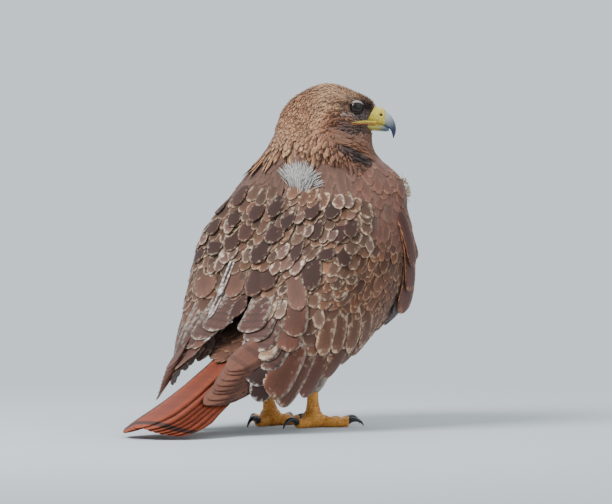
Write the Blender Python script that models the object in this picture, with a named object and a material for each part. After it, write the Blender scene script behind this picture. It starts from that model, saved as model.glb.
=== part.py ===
"""Red-tailed hawk at life size, standing at rest with its head turned to the right.

The bird faces +Y, its right side is +X and +Z is up. The ground is Z = 0, and the origin
is on the ground under the middle of the bird. Lengths are written in millimetres times MM.
"""

import math
import random

import bmesh
import bpy
import numpy as np
from mathutils import Matrix, Vector

MM = 0.001
GAP = 0.3 * MM
SIDES = {"right": 1, "left": -1}

# Where the middle of the bird's outline stands from the point between its legs.
STANCE_SHIFT = Vector((0.0, 73.14, 0.0)) * MM

# Torso and neck, from the tail's root up to the throat: the middle of each ring in the
# bird's mid plane (y, z), its half width, its depth to the back and to the belly.
TRUNK = np.array(
    [
        (-66, 97, 25, 14, 15),
        (-44, 110, 43, 25, 33),
        (-20, 130, 63, 36, 55),
        (2, 155, 80, 44, 72),
        (20, 182, 88, 48, 80),
        (34, 210, 88, 46, 78),
        (42, 238, 80, 44, 70),
        (45, 262, 64, 46, 55),
        (46, 280, 50, 47, 45),
        (46, 292, 44, 46, 42),
    ]
)
TRUNK_SQUARENESS = 2.2
NECK_FROM = 7.0
RING_POINTS = 28
TORSO_RINGS = 14
NECK_RINGS = 4

# Head, in level rings: height, back end and front end along the bill's heading, half
# width, and how much the front half narrows. The heading turns right from the body's.
HEAD_TURN = math.radians(55)
HEAD_AXIS_Y = 46 * MM
HEAD_AXIS_H = 26.4 * MM
HEAD = np.array(
    [
        (287, -19.5, 75.0, 41.0, 0.20),
        (294, -18.5, 79.0, 37.5, 0.32),
        (302, -16.5, 81.0, 34.0, 0.44),
        (310, -13.5, 82.0, 31.5, 0.50),
        (317, -10.0, 82.5, 29.5, 0.50),
        (323, -5.5, 80.5, 27.5, 0.45),
        (328, -0.5, 75.5, 25.0, 0.40),
        (332, 5.0, 68.0, 22.0, 0.35),
        (336, 12.0, 58.5, 17.5, 0.30),
        (339, 19.0, 51.0, 12.5, 0.20),
        (341.3, 27.0, 43.0, 6.0, 0.10),
    ]
)
FACE_FRONT = 80 * MM

EYE_RADIUS = 8 * MM
EYE_AT = (61.5, 12.6, 318.4)
LID_RADIUS = 6.9 * MM
LID_THICKNESS = 1.3 * MM
LID_OUT = 17.6
BROW_AT = (60.5, 18.6, 326.0)
BROW_SIZE = (14.0, 4.2, 3.2)
LIP_THICKNESS = 1.1 * MM
# The mouth's line from the bill's base to its corner, in h and out, with the height of
# the lip above it and of the lip below it at each of those places.
LIP_ROUTE = ((80.6, 8.6), (74.0, 11.6), (68.0, 14.4), (62.5, 16.6))
UPPER_LIP = (303.6, 304.2, 304.3, 303.6)
LOWER_LIP = (300.9, 301.1, 301.2, 301.6)
BROW_PITCH = math.radians(14)
BROW_TURN = 0.2

# Upper bill, back to tip: the ridge (h, z), the cutting edge (h, z) and the half width.
UPPER_BILL = np.array(
    [
        (80.3, 318.6, 80.3, 303.0, 9.0),
        (88.4, 317.3, 88.0, 301.2, 7.9),
        (94.5, 313.0, 92.5, 299.0, 6.3),
        (99.3, 307.0, 95.5, 297.0, 4.8),
        (102.0, 300.5, 97.5, 294.5, 3.4),
        (102.3, 293.8, 98.8, 290.5, 2.1),
        (100.4, 287.6, 99.6, 286.8, 0.7),
    ]
)
LOWER_BILL = np.array(
    [
        (80.3, 302.4, 80.3, 295.2, 7.6),
        (88.0, 300.6, 88.0, 294.2, 5.6),
        (92.5, 298.4, 92.5, 293.8, 3.9),
        (95.2, 296.5, 95.2, 294.3, 1.8),
    ]
)
BILL_POINTS = 14
NOSTRIL_AT = (85.0, 7.6, 311.0)
NOSTRIL_SIZE = (2.2, 2.6, 1.2)
# Row of the upper bill where the horn starts, just clear of the cere's front.
HORN_FROM = 1.04

# Outer face of the folded right wing: rows from the shoulder to the tips of the
# secondaries, each from the leading edge round to the edge beside the spine.
WING = np.array(
    [
        [(40, 84, 262), (52, 58, 274), (41, 22, 277), (16, 6, 279)],
        [(72, 80, 240), (90, 50, 248), (51, 6, 254), (9, -6, 263)],
        [(88, 74, 208), (103, 36, 216), (69, -12, 225), (6, -16, 236)],
        [(98, 69, 174), (108, 22, 182), (85, -33, 191), (5, -34, 202)],
        [(98, 53, 134), (108, 2, 146), (82, -54, 158), (5, -54, 168)],
        [(90, 24, 103), (100, -24, 112), (75, -77, 122), (6, -76, 134)],
        [(80, -12, 73), (89, -54, 80), (68, -101, 90), (10, -100, 104)],
        [(67, -50, 44), (73, -86, 52), (58, -122, 64), (20, -130, 80)],
        [(56, -86, 22), (60, -110, 30), (50, -144, 46), (28, -156, 62)],
    ]
)
# Depth of the wing under its outer face at each row, before the torso is cut from it.
WING_DEPTH = (14, 20, 24, 26, 22, 12, 4)
WING_CORE_ROWS = 5.6

# The folded primaries: rows from inside the wing out over the tail, outer to inner edge.
PRIMARIES = {
    "right": np.array(
        [
            [(84, -10, 112), (72, -22, 118), (56, -34, 122)],
            [(78, -48, 94), (64, -62, 102), (46, -72, 108)],
            [(66, -94, 73), (51, -106, 82), (33, -114, 88)],
            [(52, -140, 51), (37, -150, 58), (20, -156, 62)],
            [(36, -190, 30), (22, -197, 34), (8, -200, 37)],
        ]
    ),
    "left": np.array(
        [
            [(84, -10, 112), (72, -22, 118), (56, -34, 122)],
            [(84, -48, 92), (70, -60, 101), (53, -70, 110)],
            [(79, -88, 70), (64, -99, 80), (48, -108, 88)],
            [(70, -126, 48), (56, -136, 57), (41, -142, 63)],
            [(60, -160, 29), (47, -168, 37), (33, -172, 43)],
        ]
    ),
}
PRIMARY_COUNT = 6
# Columns of the outermost primary and of the spread to the innermost, row of the longest
# one's tip, and how far up the innermost one's tip and the half-hidden outermost one's lie.
PRIMARY_SPREAD = (0.55, 0.9)
PRIMARY_TIPS = (4.0, 0.72, 0.12)
PRIMARY_THICKNESS = 1.0
HAND_SPAN = (0.0, 1.5)
HAND_REACH = (0.35, 1.65)
PRIMARY_WIDTH = {"right": 27, "left": 29}
HAND_DEPTH = 4.5

# Coverts and scapulars in tiers: the wing row of the roots and of the tips, the number
# across, the width in millimetres, and how far root and tip stand off the wing's face.
COVERT_TIERS = (
    (0.2, 1.5, 5, 27, -3.0, 2.4),
    (0.9, 2.3, 6, 29, -3.0, 2.6),
    (1.7, 3.1, 6, 32, -3.0, 2.8),
    (2.5, 4.0, 6, 35, -3.0, 3.0),
    (3.3, 4.8, 6, 34, -3.0, 3.2),
    (4.1, 6.0, 6, 32, -3.0, 3.4),
)
# Clear margin beside the outermost coverts, and how far roots and tips stray from rows.
COVERT_MARGIN = 0.18
COVERT_STRAY = (0.05, 0.09, 0.04)
COVERT_LEAN = 0.05
SEEDS = {"right": 11, "left": 27}
COVERT_TILT = 1.2
SECONDARY_TILT = 2.0
SECONDARY_ROOT = -5.0
SECONDARY_TIP = 0.5
PRIMARY_STEP = {"right": 1.55, "left": 1.3}
SECONDARY_COUNT = 7
# Rows of the secondaries' roots and shortest tips, and how much longer the middle ones are.
SECONDARY_ROWS = (4.7, 7.15, 0.55)
SECONDARY_STRAY = 0.08
SECONDARY_WIDTH = 30

TAIL_ROOT = (-66.3, 97.0)
TAIL_LENGTH = 211
TAIL_SLOPE = (math.radians(35.5), math.radians(16))
TAIL_PAIRS = 6
TAIL_STEP = 1.0
TAIL_WIDTH = 35
TAIL_ROOT_HALF_WIDTH = 24
TAIL_CAMBER = 0.0016
TAIL_HALF = 40
# How far out the middle pair's roots and tips lie, and what each pair outwards adds.
TAIL_ROOTS = (1.6, 1.5)
TAIL_TIPS = (5.5, 5.1)
TAIL_TOP = 5.6
TAIL_VANE_THICKNESS = 0.85
# Depth of the tail's fleshy root above and below its middle, and what it loses at its end.
TAIL_ROOT_DEPTH = (13.2, 14.5, 8.5)
# Tail coverts in tiers: row of the tips, number, spread, share of the spread at the roots,
# width, and how far root and tip stand off the tail's face.
TAIL_COVERTS = (
    (1.35, 4, 16, 0.8, 20, 3.0, 5.6),
    (0.95, 3, 12, 0.8, 20, 5.0, 7.0),
    (1.9, 4, 15, 0.7, 22, -6.0, -6.5),
    (1.2, 3, 16, 0.7, 22, -9.0, -10.5),
)

VANE_THICKNESS = 1.3
# Share of a vane's length against share of its width, up to its rounded tip.
VANE_SHAPE = ((0.0, 0.55), (0.5, 1.0), (0.84, 0.8), (0.96, 0.4))

THIGH_POINTS = 18
SHANK_POINTS = 12
THIGH = np.array(
    [
        (44, 26, 128, 33, 40),
        (40, 18, 104, 29, 34),
        (35, 6, 82, 22, 26),
        (31, -4, 60, 15, 18),
        (28, -8, 40, 9, 11),
    ]
)
TARSUS = np.array(
    [
        (28, -8.2, 39.7, 6.4),
        (27.6, -7.4, 33, 5.8),
        (27, -6, 25, 5.9),
        (26.2, -4.5, 17, 7.4),
    ]
)
FOOT_AT = (26, -4, 9)
FOOT_PAD_RADIUS = 11
FOOT_TURN = {"right": math.radians(12), "left": math.radians(14)}
# Each toe: its turn from straight ahead, positive to the outside, its length without
# the claw, its radius at root and tip, and the length and root radius of its claw.
TOES = {
    "hallux": (172, 26, 6.2, 4.6, 27, 3.5),
    "inner": (-42, 31, 6.0, 4.5, 25, 3.4),
    "middle": (0, 47, 5.8, 4.3, 22, 3.1),
    "outer": (46, 36, 5.6, 4.2, 19, 2.9),
}
TOE_POINTS = 10
TOE_RINGS = 8
CLAW_RINGS = 6
CLAW_SWEEP = math.radians(105)

PLUMAGE = ("plumage", (0.20, 0.11, 0.07), 0.85)
BREAST = ("breast", (0.55, 0.42, 0.30), 0.85)
RUFOUS = ("rufous_tail", (0.36, 0.09, 0.03), 0.7)
YELLOW = ("yellow_skin", (0.62, 0.36, 0.05), 0.5)
HORN = ("horn", (0.05, 0.06, 0.09), 0.3)
IRIS = ("eye", (0.05, 0.02, 0.01), 0.08)


def clear_scene():
    """Remove whatever the file holds at the start."""
    for item in list(bpy.data.objects):
        bpy.data.objects.remove(item, do_unlink=True)


def along(rows, place):
    """Read a smooth curve through the rows at a fractional row number."""
    last = len(rows) - 1
    first = min(max(int(math.floor(place)), 0), last - 1)
    step = place - first
    here, after = rows[first], rows[first + 1]
    before = rows[first - 1] if first > 0 else 2 * here - after
    beyond = rows[first + 2] if first + 2 <= last else 2 * after - here
    if step < 0 or step > 1:
        return here + (after - here) * step
    slope_in = (after - before) / 2
    slope_out = (beyond - here) / 2
    return (
        here * (2 * step**3 - 3 * step**2 + 1)
        + slope_in * (step**3 - 2 * step**2 + step)
        + after * (3 * step**2 - 2 * step**3)
        + slope_out * (step**3 - step**2)
    )


def power(value, exponent):
    """Raise to a power and keep the sign."""
    return math.copysign(abs(value) ** exponent, value)


def material_of(look):
    """Return the Blender material for a (name, colour, roughness) look."""
    name, colour, roughness = look
    material = bpy.data.materials.get(name)
    if material is None:
        material = bpy.data.materials.new(name)
        material.use_nodes = True
        shader = material.node_tree.nodes["Principled BSDF"]
        shader.inputs["Base Color"].default_value = (*colour, 1)
        shader.inputs["Roughness"].default_value = roughness
        shader.inputs["Metallic"].default_value = 0
        material.diffuse_color = (*colour, 1)
    return material


def mesh_object(name, points, faces, look, mirror=1):
    """Make an object of points in metres. A mirror of -1 puts a right-hand piece on the left."""
    flip = -1 if mirror < 0 else 1
    points = [(p[0] * flip, p[1], p[2]) for p in points]
    faces = [tuple(face)[::flip] for face in faces]
    mesh = bpy.data.meshes.new(name)
    mesh.from_pydata(points, [], faces)
    mesh.materials.append(material_of(look))
    item = bpy.data.objects.new(name, mesh)
    bpy.context.scene.collection.objects.link(item)
    build = bmesh.new()
    build.from_mesh(mesh)
    bmesh.ops.recalc_face_normals(build, faces=build.faces)
    build.to_mesh(mesh)
    build.free()
    return item


def tube_faces(rings, size):
    """Faces that join closed rings of one size, with a flat cap on each end."""
    faces = []
    for ring in range(rings - 1):
        for point in range(size):
            after = (point + 1) % size
            low, high = ring * size, (ring + 1) * size
            faces.append((low + point, low + after, high + after, high + point))
    faces.append(tuple(range(size))[::-1])
    faces.append(tuple(range((rings - 1) * size, rings * size)))
    return faces


def loft(name, rings, look, mirror=1):
    """Join rings of points into one closed piece."""
    points = [point for ring in rings for point in ring]
    return mesh_object(name, points, tube_faces(len(rings), len(rings[0])), look, mirror)


def ellipsoid(name, centre, axes, radii, look, rings=6, size=10):
    """A closed ellipsoid about a centre, with its three axes given as unit vectors."""
    made = []
    for ring in range(rings + 1):
        polar = math.pi * (ring + 0.12) / (rings + 0.24)
        made.append(
            [
                centre
                + axes[0] * radii[0] * math.cos(polar)
                + axes[1] * radii[1] * math.sin(polar) * math.cos(2 * math.pi * k / size)
                + axes[2] * radii[2] * math.sin(polar) * math.sin(2 * math.pi * k / size)
                for k in range(size)
            ]
        )
    return loft(name, made, look)


def apply_modifiers(item):
    """Replace an object's mesh by its evaluated one."""
    bpy.context.view_layer.update()
    graph = bpy.context.evaluated_depsgraph_get()
    mesh = bpy.data.meshes.new_from_object(item.evaluated_get(graph))
    item.modifiers.clear()
    item.data = mesh


def largest_body(item):
    """Keep only the connected surface that holds the most volume."""
    build = bmesh.new()
    build.from_mesh(item.data)
    left, bodies = set(build.faces), []
    while left:
        grown = [left.pop()]
        body = set(grown)
        while grown:
            for edge in grown.pop().edges:
                for face in edge.link_faces:
                    if face in left:
                        left.discard(face)
                        body.add(face)
                        grown.append(face)
        bodies.append(body)
    bodies.sort(key=enclosed_volume)
    doomed = [face for body in bodies[:-1] for face in body]
    bmesh.ops.delete(build, geom=doomed, context="FACES")
    bmesh.ops.triangulate(build, faces=build.faces)
    build.to_mesh(item.data)
    build.free()


def enclosed_volume(faces):
    """Volume inside a closed set of faces, from the origin's cones."""
    total = 0.0
    for face in faces:
        corners = [vert.co for vert in face.verts]
        for k in range(1, len(corners) - 1):
            total += corners[0].dot(corners[k].cross(corners[k + 1]))
    return total / 6


def combine(item, others, operation, solver="MANIFOLD"):
    """Apply one Boolean with a collection of closed pieces, which are then removed."""
    group = bpy.data.collections.new("operands")
    bpy.context.scene.collection.children.link(group)
    for other in others:
        group.objects.link(other)
        bpy.context.scene.collection.objects.unlink(other)
    boolean = item.modifiers.new(operation, "BOOLEAN")
    boolean.operation = operation
    boolean.solver = solver
    boolean.operand_type = "COLLECTION"
    boolean.collection = group
    apply_modifiers(item)
    for other in others:
        bpy.data.objects.remove(other, do_unlink=True)
    bpy.data.collections.remove(group)
    largest_body(item)


def cut_flat(item, point, normal):
    """Cut away what lies beyond a plane and close the cut with a flat face."""
    build = bmesh.new()
    build.from_mesh(item.data)
    whole = [*build.verts, *build.edges, *build.faces]
    cut = bmesh.ops.bisect_plane(
        build,
        geom=whole,
        dist=1e-7,
        plane_co=point,
        plane_no=normal,
        clear_outer=True,
    )
    rim = [e for e in cut["geom_cut"] if isinstance(e, bmesh.types.BMEdge)]
    bmesh.ops.holes_fill(build, edges=rim)
    bmesh.ops.triangulate(build, faces=build.faces)
    build.to_mesh(item.data)
    build.free()


def trunk_ring(place, swell=0.0):
    """A ring of the torso or neck, swollen outwards by a length in metres."""
    y, z, half, back, belly = along(TRUNK, place) * MM
    ahead = (along(TRUNK, place + 0.05) - along(TRUNK, place - 0.05))[:2]
    ahead = ahead / np.linalg.norm(ahead)
    ring = []
    for k in range(RING_POINTS):
        turn = 2 * math.pi * k / RING_POINTS
        side = power(math.sin(turn), 2 / TRUNK_SQUARENESS) * (half + swell)
        depth = (back if math.cos(turn) > 0 else belly) + swell
        out = power(math.cos(turn), 2 / TRUNK_SQUARENESS) * depth
        ring.append(Vector((side, y - ahead[1] * out, z + ahead[0] * out)))
    return ring


def head_point(h, out, z):
    """A point of the head: h along the bill's heading, out to the head's right."""
    ahead = Vector((math.sin(HEAD_TURN), math.cos(HEAD_TURN), 0))
    right = Vector((math.cos(HEAD_TURN), -math.sin(HEAD_TURN), 0))
    axis = Vector((0, HEAD_AXIS_Y, 0))
    return axis + ahead * (h - HEAD_AXIS_H) + right * out + Vector((0, 0, z))


def head_ring(place, swell=0.0):
    """A level ring of the head, its points starting from the same side as the trunk's."""
    z, back, front, half, narrowing = along(HEAD, place)
    back, front, half = back - swell / MM, front + swell / MM, half + swell / MM
    middle, reach = (back + front) / 2, (front - back) / 2
    ring = []
    for k in range(RING_POINTS):
        turn = 2 * math.pi * k / RING_POINTS + HEAD_TURN
        forward = -math.cos(turn)
        wide = half * math.sin(turn) * (1 - narrowing * max(forward, 0))
        ring.append(head_point((middle + reach * forward) * MM, wide * MM, z * MM))
    return ring


def trunk_places():
    """Ring numbers of the torso and of the neck, with a thin gap between the two."""
    torso_top = NECK_FROM - 0.01
    torso = [torso_top * k / (TORSO_RINGS - 1) for k in range(TORSO_RINGS)]
    reach = len(TRUNK) - 1.6 - NECK_FROM
    neck = [NECK_FROM + 0.01 + reach * k / (NECK_RINGS - 1) for k in range(NECK_RINGS)]
    return torso, neck


def trunk_rings(places, swell, top):
    """Rings at the given places, closed above by the outline of the head's base if asked."""
    rings = [trunk_ring(place, swell) for place in places]
    if top:
        rings.append([point - Vector((0, 0, GAP)) for point in head_ring(0, swell)])
    return rings


def build_trunk():
    """The torso and the neck, with a thin gap between them and under the head."""
    torso, neck = trunk_places()
    loft("torso", trunk_rings(torso, 0.0, False), BREAST)
    loft("neck", trunk_rings(neck, 0.0, True), PLUMAGE)


def swollen_trunk():
    """A cutter that follows the torso and neck a little way outside them."""
    torso, neck = trunk_places()
    places = [-GAP / MM / 22] + torso[1:] + neck
    return loft("trunk_cutter", trunk_rings(places, 2 * GAP, True), PLUMAGE)


def head_axes(pitch=0.0):
    """Unit vectors ahead, to the right and up on the head, pitched down in front."""
    ahead = Vector((math.sin(HEAD_TURN), math.cos(HEAD_TURN), 0))
    right = Vector((math.cos(HEAD_TURN), -math.sin(HEAD_TURN), 0))
    up = Vector((0, 0, 1))
    nose = ahead * math.cos(pitch) - up * math.sin(pitch)
    crown = ahead * math.sin(pitch) + up * math.cos(pitch)
    return nose, right, crown


def at_head(place, side=1):
    """A named (h, out, z) place in millimetres on the head's right or left."""
    return head_point(place[0] * MM, place[1] * MM * side, place[2] * MM)


def lid_ring(side):
    """A round lid that stands round the eye."""
    nose, right, crown = head_axes()
    centre = at_head((EYE_AT[0], LID_OUT, EYE_AT[2]), side)
    out = right * side
    around, section = 12, 5
    points = []
    for a in range(around):
        spoke = nose * math.cos(2 * math.pi * a / around)
        spoke += crown * math.sin(2 * math.pi * a / around)
        # The face narrows to the bill, so the lid's front edge lies nearer the mid plane.
        lean = out * (-0.24 * LID_RADIUS * math.cos(2 * math.pi * a / around))
        for s in range(section):
            turn = 2 * math.pi * s / section
            offset = spoke * math.cos(turn) + out * math.sin(turn)
            points.append(centre + spoke * LID_RADIUS + lean + offset * LID_THICKNESS)
    faces = []
    for a in range(around):
        for s in range(section):
            b, t = (a + 1) % around, (s + 1) % section
            faces.append(
                (a * section + s, a * section + t, b * section + t, b * section + s)
            )
    return mesh_object(f"lid{side}", points, faces, PLUMAGE)


def lip(side, name, heights):
    """A raised lip from the bill's base back to the corner of the mouth."""
    _, right, crown = head_axes()
    rings = []
    for (h, out), z in zip(LIP_ROUTE, heights):
        centre = at_head((h, out, z), side)
        rings.append(
            [
                centre
                + (
                    right * math.cos(2 * math.pi * k / 8)
                    + crown * math.sin(2 * math.pi * k / 8)
                )
                * LIP_THICKNESS
                for k in range(8)
            ]
        )
    return loft(f"{name}{side}", rings, YELLOW)


def build_head():
    """The head with sockets, lids, brows and the line of the mouth, and both eyes."""
    steps = 12
    top = len(HEAD) - 1
    rings = [head_ring(top * k / (steps - 1)) for k in range(steps)]
    head = loft("head", rings, PLUMAGE)
    nose, right, crown = head_axes()
    added = []
    for side in SIDES.values():
        added.append(lid_ring(side))
        forward, _, upward = head_axes(BROW_PITCH)
        turned = (
            (forward - right * BROW_TURN * side).normalized(),
            (right + forward * BROW_TURN * side).normalized(),
            upward,
        )
        radii = [size * MM for size in BROW_SIZE]
        added.append(
            ellipsoid(f"brow{side}", at_head(BROW_AT, side), turned, radii, PLUMAGE, 5, 8)
        )
        added.append(lip(side, "upper_lip", UPPER_LIP))
        added.append(lip(side, "lower_lip", LOWER_LIP))
    combine(head, added, "UNION")
    sockets = []
    for label, side in SIDES.items():
        centre = at_head(EYE_AT, side)
        axes = (right * side, nose, crown)
        ball = [EYE_RADIUS] * 3
        ellipsoid(f"eye_{label}", centre, axes, ball, IRIS, rings=8, size=16)
        cup = [EYE_RADIUS + 1.2 * GAP] * 3
        sockets.append(
            ellipsoid(f"socket{side}", centre, axes, cup, IRIS, rings=8, size=16)
        )
    combine(head, sockets, "DIFFERENCE")
    cut_flat(head, head_point(FACE_FRONT, 0, 0), nose)


def bill_ring(row):
    """A ring of the bill between its upper and its lower edge."""
    _, right, _ = head_axes()
    upper = head_point(row[0] * MM, 0, row[1] * MM)
    lower = head_point(row[2] * MM, 0, row[3] * MM)
    middle, reach = (upper + lower) / 2, (upper - lower) / 2
    return [
        middle
        + reach * math.cos(2 * math.pi * k / BILL_POINTS)
        + right * row[4] * MM * math.sin(2 * math.pi * k / BILL_POINTS)
        for k in range(BILL_POINTS)
    ]


def build_bill():
    """The cere with its nostrils, the hooked upper bill and the lower bill."""
    axes = head_axes()
    cere = loft("cere", [bill_ring(along(UPPER_BILL, p)) for p in (0, 0.5, 1.0)], YELLOW)
    nostrils = []
    for side in SIDES.values():
        radii = [size * MM for size in NOSTRIL_SIZE]
        nostrils.append(
            ellipsoid(f"nostril{side}", at_head(NOSTRIL_AT, side), axes, radii, YELLOW, 4, 8)
        )
    combine(cere, nostrils, "DIFFERENCE")
    tip = len(UPPER_BILL) - 1
    places = [HORN_FROM + (tip - HORN_FROM) * k / 8 for k in range(9)]
    hook = [bill_ring(along(UPPER_BILL, place)) for place in places]
    loft("bill_upper", hook, HORN)
    end = len(LOWER_BILL) - 1
    under = [bill_ring(along(LOWER_BILL, end * k / 4)) for k in range(5)]
    loft("bill_lower", under, HORN)


def sheet_point(rows, s, t):
    """A point of a curved face given by rows of points, in millimetres."""
    across = np.array([along(rows[:, column], s) for column in range(rows.shape[1])])
    return along(across, t)


def sheet_frame(rows, s, t, outwards):
    """A point of a curved face with its two slopes and its outward normal."""
    step = 0.02
    here = sheet_point(rows, s, t)
    slope_s = (sheet_point(rows, s + step, t) - here) / step
    slope_t = (sheet_point(rows, s, t + step) - here) / step
    normal = np.cross(slope_s, slope_t) * outwards
    return here, slope_s, slope_t, normal / np.linalg.norm(normal)


def vane(rows, root, tip, width, heights, outwards=-1, tilt=0.0, thickness=VANE_THICKNESS):
    """A feather on a curved face, as points and faces in metres.

    It runs from root to tip, both (s, t) places on the face, and stands off the face by
    heights at its two ends. Its section is a flat rhomb: two edges, a ridge and a keel.
    A tilt lifts the edge at the greater t and sinks the other, so that neighbours overlap.
    """
    root, tip = np.array(root, float), np.array(tip, float)
    points = []
    for share, wide in VANE_SHAPE:
        s, t = root + (tip - root) * share
        here, slope_s, slope_t, normal = sheet_frame(rows, s, t, outwards)
        shaft = slope_s * (tip - root)[0] + slope_t * (tip - root)[1]
        side = np.cross(normal, shaft)
        side /= np.linalg.norm(side)
        jacobian = np.stack([slope_s, slope_t], axis=1)
        turn = np.linalg.lstsq(jacobian, side * width / 2 * wide, rcond=None)[0]
        stand = heights[0] + (heights[1] - heights[0]) * share
        edges = [sheet_point(rows, s + sign * turn[0], t + sign * turn[1]) for sign in (-1, 1)]
        rise = tilt * wide * (1 if turn[1] > 0 else -1)
        thick = thickness * (1 - 0.35 * share) / 2
        points += [
            edges[0] + normal * (stand - rise),
            here + normal * (stand + thick),
            edges[1] + normal * (stand + rise),
            here + normal * (stand - thick),
        ]
    end, _, _, normal = sheet_frame(rows, tip[0], tip[1], outwards)
    points.append(end + normal * heights[1])
    size, rings = 4, len(VANE_SHAPE)
    faces = tube_faces(rings, size)[:-1]
    last = (rings - 1) * size
    for k in range(size):
        faces.append((last + k, last + (k + 1) % size, rings * size))
    triangles = []
    for face in faces:
        if len(face) == 4:
            triangles += [(face[0], face[1], face[2]), (face[0], face[2], face[3])]
        else:
            triangles.append(face)
    return [Vector(point) * MM for point in points], triangles


def slab(name, rows, span, reach, depths, look, mirror, outwards=-1, grid=(8, 6)):
    """A closed slab under a curved face, from row span[0] to span[1].

    reach is the part of the face across. Each of depths, at even steps along the slab, is
    how far its top stands over the face and how far its underside lies below it.
    """
    along_count, across_count = grid
    depth_rows = np.array(depths, float)
    top, under = [], []
    for a in range(along_count):
        share = a / (along_count - 1)
        s = span[0] + (span[1] - span[0]) * share
        lift, depth = along(depth_rows, share * (len(depth_rows) - 1))
        for b in range(across_count):
            t = reach[0] + (reach[1] - reach[0]) * b / (across_count - 1)
            here, _, _, normal = sheet_frame(rows, s, t, outwards)
            top.append(Vector(here + normal * lift) * MM)
            under.append(Vector(here - normal * depth) * MM)
    count = along_count * across_count
    faces = []
    for a in range(along_count - 1):
        for b in range(across_count - 1):
            first = a * across_count + b
            quad = (first, first + 1, first + across_count + 1, first + across_count)
            faces.append(quad)
            faces.append(tuple(k + count for k in quad[::-1]))
    rim = [a * across_count for a in range(along_count)]
    rim += [(along_count - 1) * across_count + b for b in range(1, across_count)]
    rim += [a * across_count + across_count - 1 for a in range(along_count - 2, -1, -1)]
    rim += [b for b in range(across_count - 2, 0, -1)]
    for k, here in enumerate(rim):
        after = rim[(k + 1) % len(rim)]
        faces.append((after, here, here + count, after + count))
    return mesh_object(name, top + under, faces, look, mirror)


def vane_objects(vanes, look, mirror=1):
    """One closed object for each vane, for a union."""
    return [
        mesh_object(f"vane{k}", points, faces, look, mirror)
        for k, (points, faces) in enumerate(vanes)
    ]


def wing_vanes(label):
    """Coverts, scapulars and secondaries of a folded wing."""
    rng = random.Random(SEEDS[label])
    across = WING.shape[1] - 1
    made = []
    for root, tip, count, width, low, high in COVERT_TIERS:
        for k in range(count):
            t = COVERT_MARGIN + (across - 2 * COVERT_MARGIN) * (k + 0.5) / count
            s_root = root + rng.uniform(-COVERT_STRAY[0], COVERT_STRAY[0])
            s_tip = tip + rng.uniform(-COVERT_STRAY[1], COVERT_STRAY[1])
            lean = COVERT_LEAN * (t - across / 2) + rng.uniform(-COVERT_STRAY[2], COVERT_STRAY[2])
            made.append(
                vane(WING, (s_root, t), (s_tip, t + lean), width, (low, high), tilt=COVERT_TILT)
            )
    root, tip, longer = SECONDARY_ROWS
    for k in range(SECONDARY_COUNT):
        share = (k + 0.5) / SECONDARY_COUNT
        t = 0.12 + (across - 0.3) * share
        stray = rng.uniform(-SECONDARY_STRAY, SECONDARY_STRAY)
        s_tip = tip + longer * math.sin(math.pi * share) + stray
        stands = (SECONDARY_ROOT, SECONDARY_TIP)
        made.append(
            vane(WING, (root, t), (s_tip, t), SECONDARY_WIDTH, stands, tilt=SECONDARY_TILT)
        )
    return made


def primary_vanes(label):
    """The folded flight feathers of the hand, the inner ones on top and shorter."""
    rows, width = PRIMARIES[label], PRIMARY_WIDTH[label]
    first, spread = PRIMARY_SPREAD
    longest, shorter, hidden = PRIMARY_TIPS
    made = []
    for k in range(PRIMARY_COUNT):
        share = k / (PRIMARY_COUNT - 1)
        t = first + spread * share
        s_tip = longest - shorter * share**1.3 - (hidden if k == 0 else 0)
        stand = (k - (PRIMARY_COUNT - 1) / 2) * PRIMARY_STEP[label]
        feather = vane(
            rows, (0.5, t), (s_tip, t), width, (stand, stand), thickness=PRIMARY_THICKNESS
        )
        made.append(feather)
    return made


def build_wing(label):
    """One folded wing: a core on the torso's side, its tiers of feathers and its hand."""
    mirror = SIDES[label]
    across = WING.shape[1] - 1
    depths = [(0, depth) for depth in WING_DEPTH]
    wing = slab(
        f"wing_{label}", WING, (0.05, WING_CORE_ROWS), (0.04, across - 0.04), depths,
        PLUMAGE, mirror,
    )
    hand = slab(
        "hand", PRIMARIES[label], HAND_SPAN, HAND_REACH,
        [(HAND_DEPTH, HAND_DEPTH), (HAND_DEPTH, HAND_DEPTH), (1.5, 2.5)],
        PLUMAGE, mirror, grid=(6, 4),
    )
    pieces = [hand]
    pieces += vane_objects(wing_vanes(label) + primary_vanes(label), PLUMAGE, mirror)
    combine(wing, pieces, "UNION")
    combine(wing, [swollen_trunk()], "DIFFERENCE")
    cut_flat(wing, Vector((mirror * GAP, 0, 0)), Vector((-mirror, 0, 0)))
    largest_body(wing)


def tail_rows():
    """The tail's middle line as rows of the left edge, the middle and the right edge."""
    rows = []
    y, z = TAIL_ROOT
    stations = 6
    half = TAIL_HALF
    fine = 20
    for station in range(stations):
        if station:
            for k in range(fine):
                share = (station - 1 + (k + 0.5) / fine) / (stations - 1)
                slope = TAIL_SLOPE[0] + (TAIL_SLOPE[1] - TAIL_SLOPE[0]) * share
                step = TAIL_LENGTH / (stations - 1) / fine
                y -= step * math.cos(slope)
                z -= step * math.sin(slope)
        share = station / (stations - 1)
        slope = TAIL_SLOPE[0] + (TAIL_SLOPE[1] - TAIL_SLOPE[0]) * share
        drop = TAIL_CAMBER * half**2
        low = (y + drop * math.sin(slope), z - drop * math.cos(slope))
        rows.append([(-half, *low), (0, y, z), (half, *low)])
    return np.array(rows)


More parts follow.
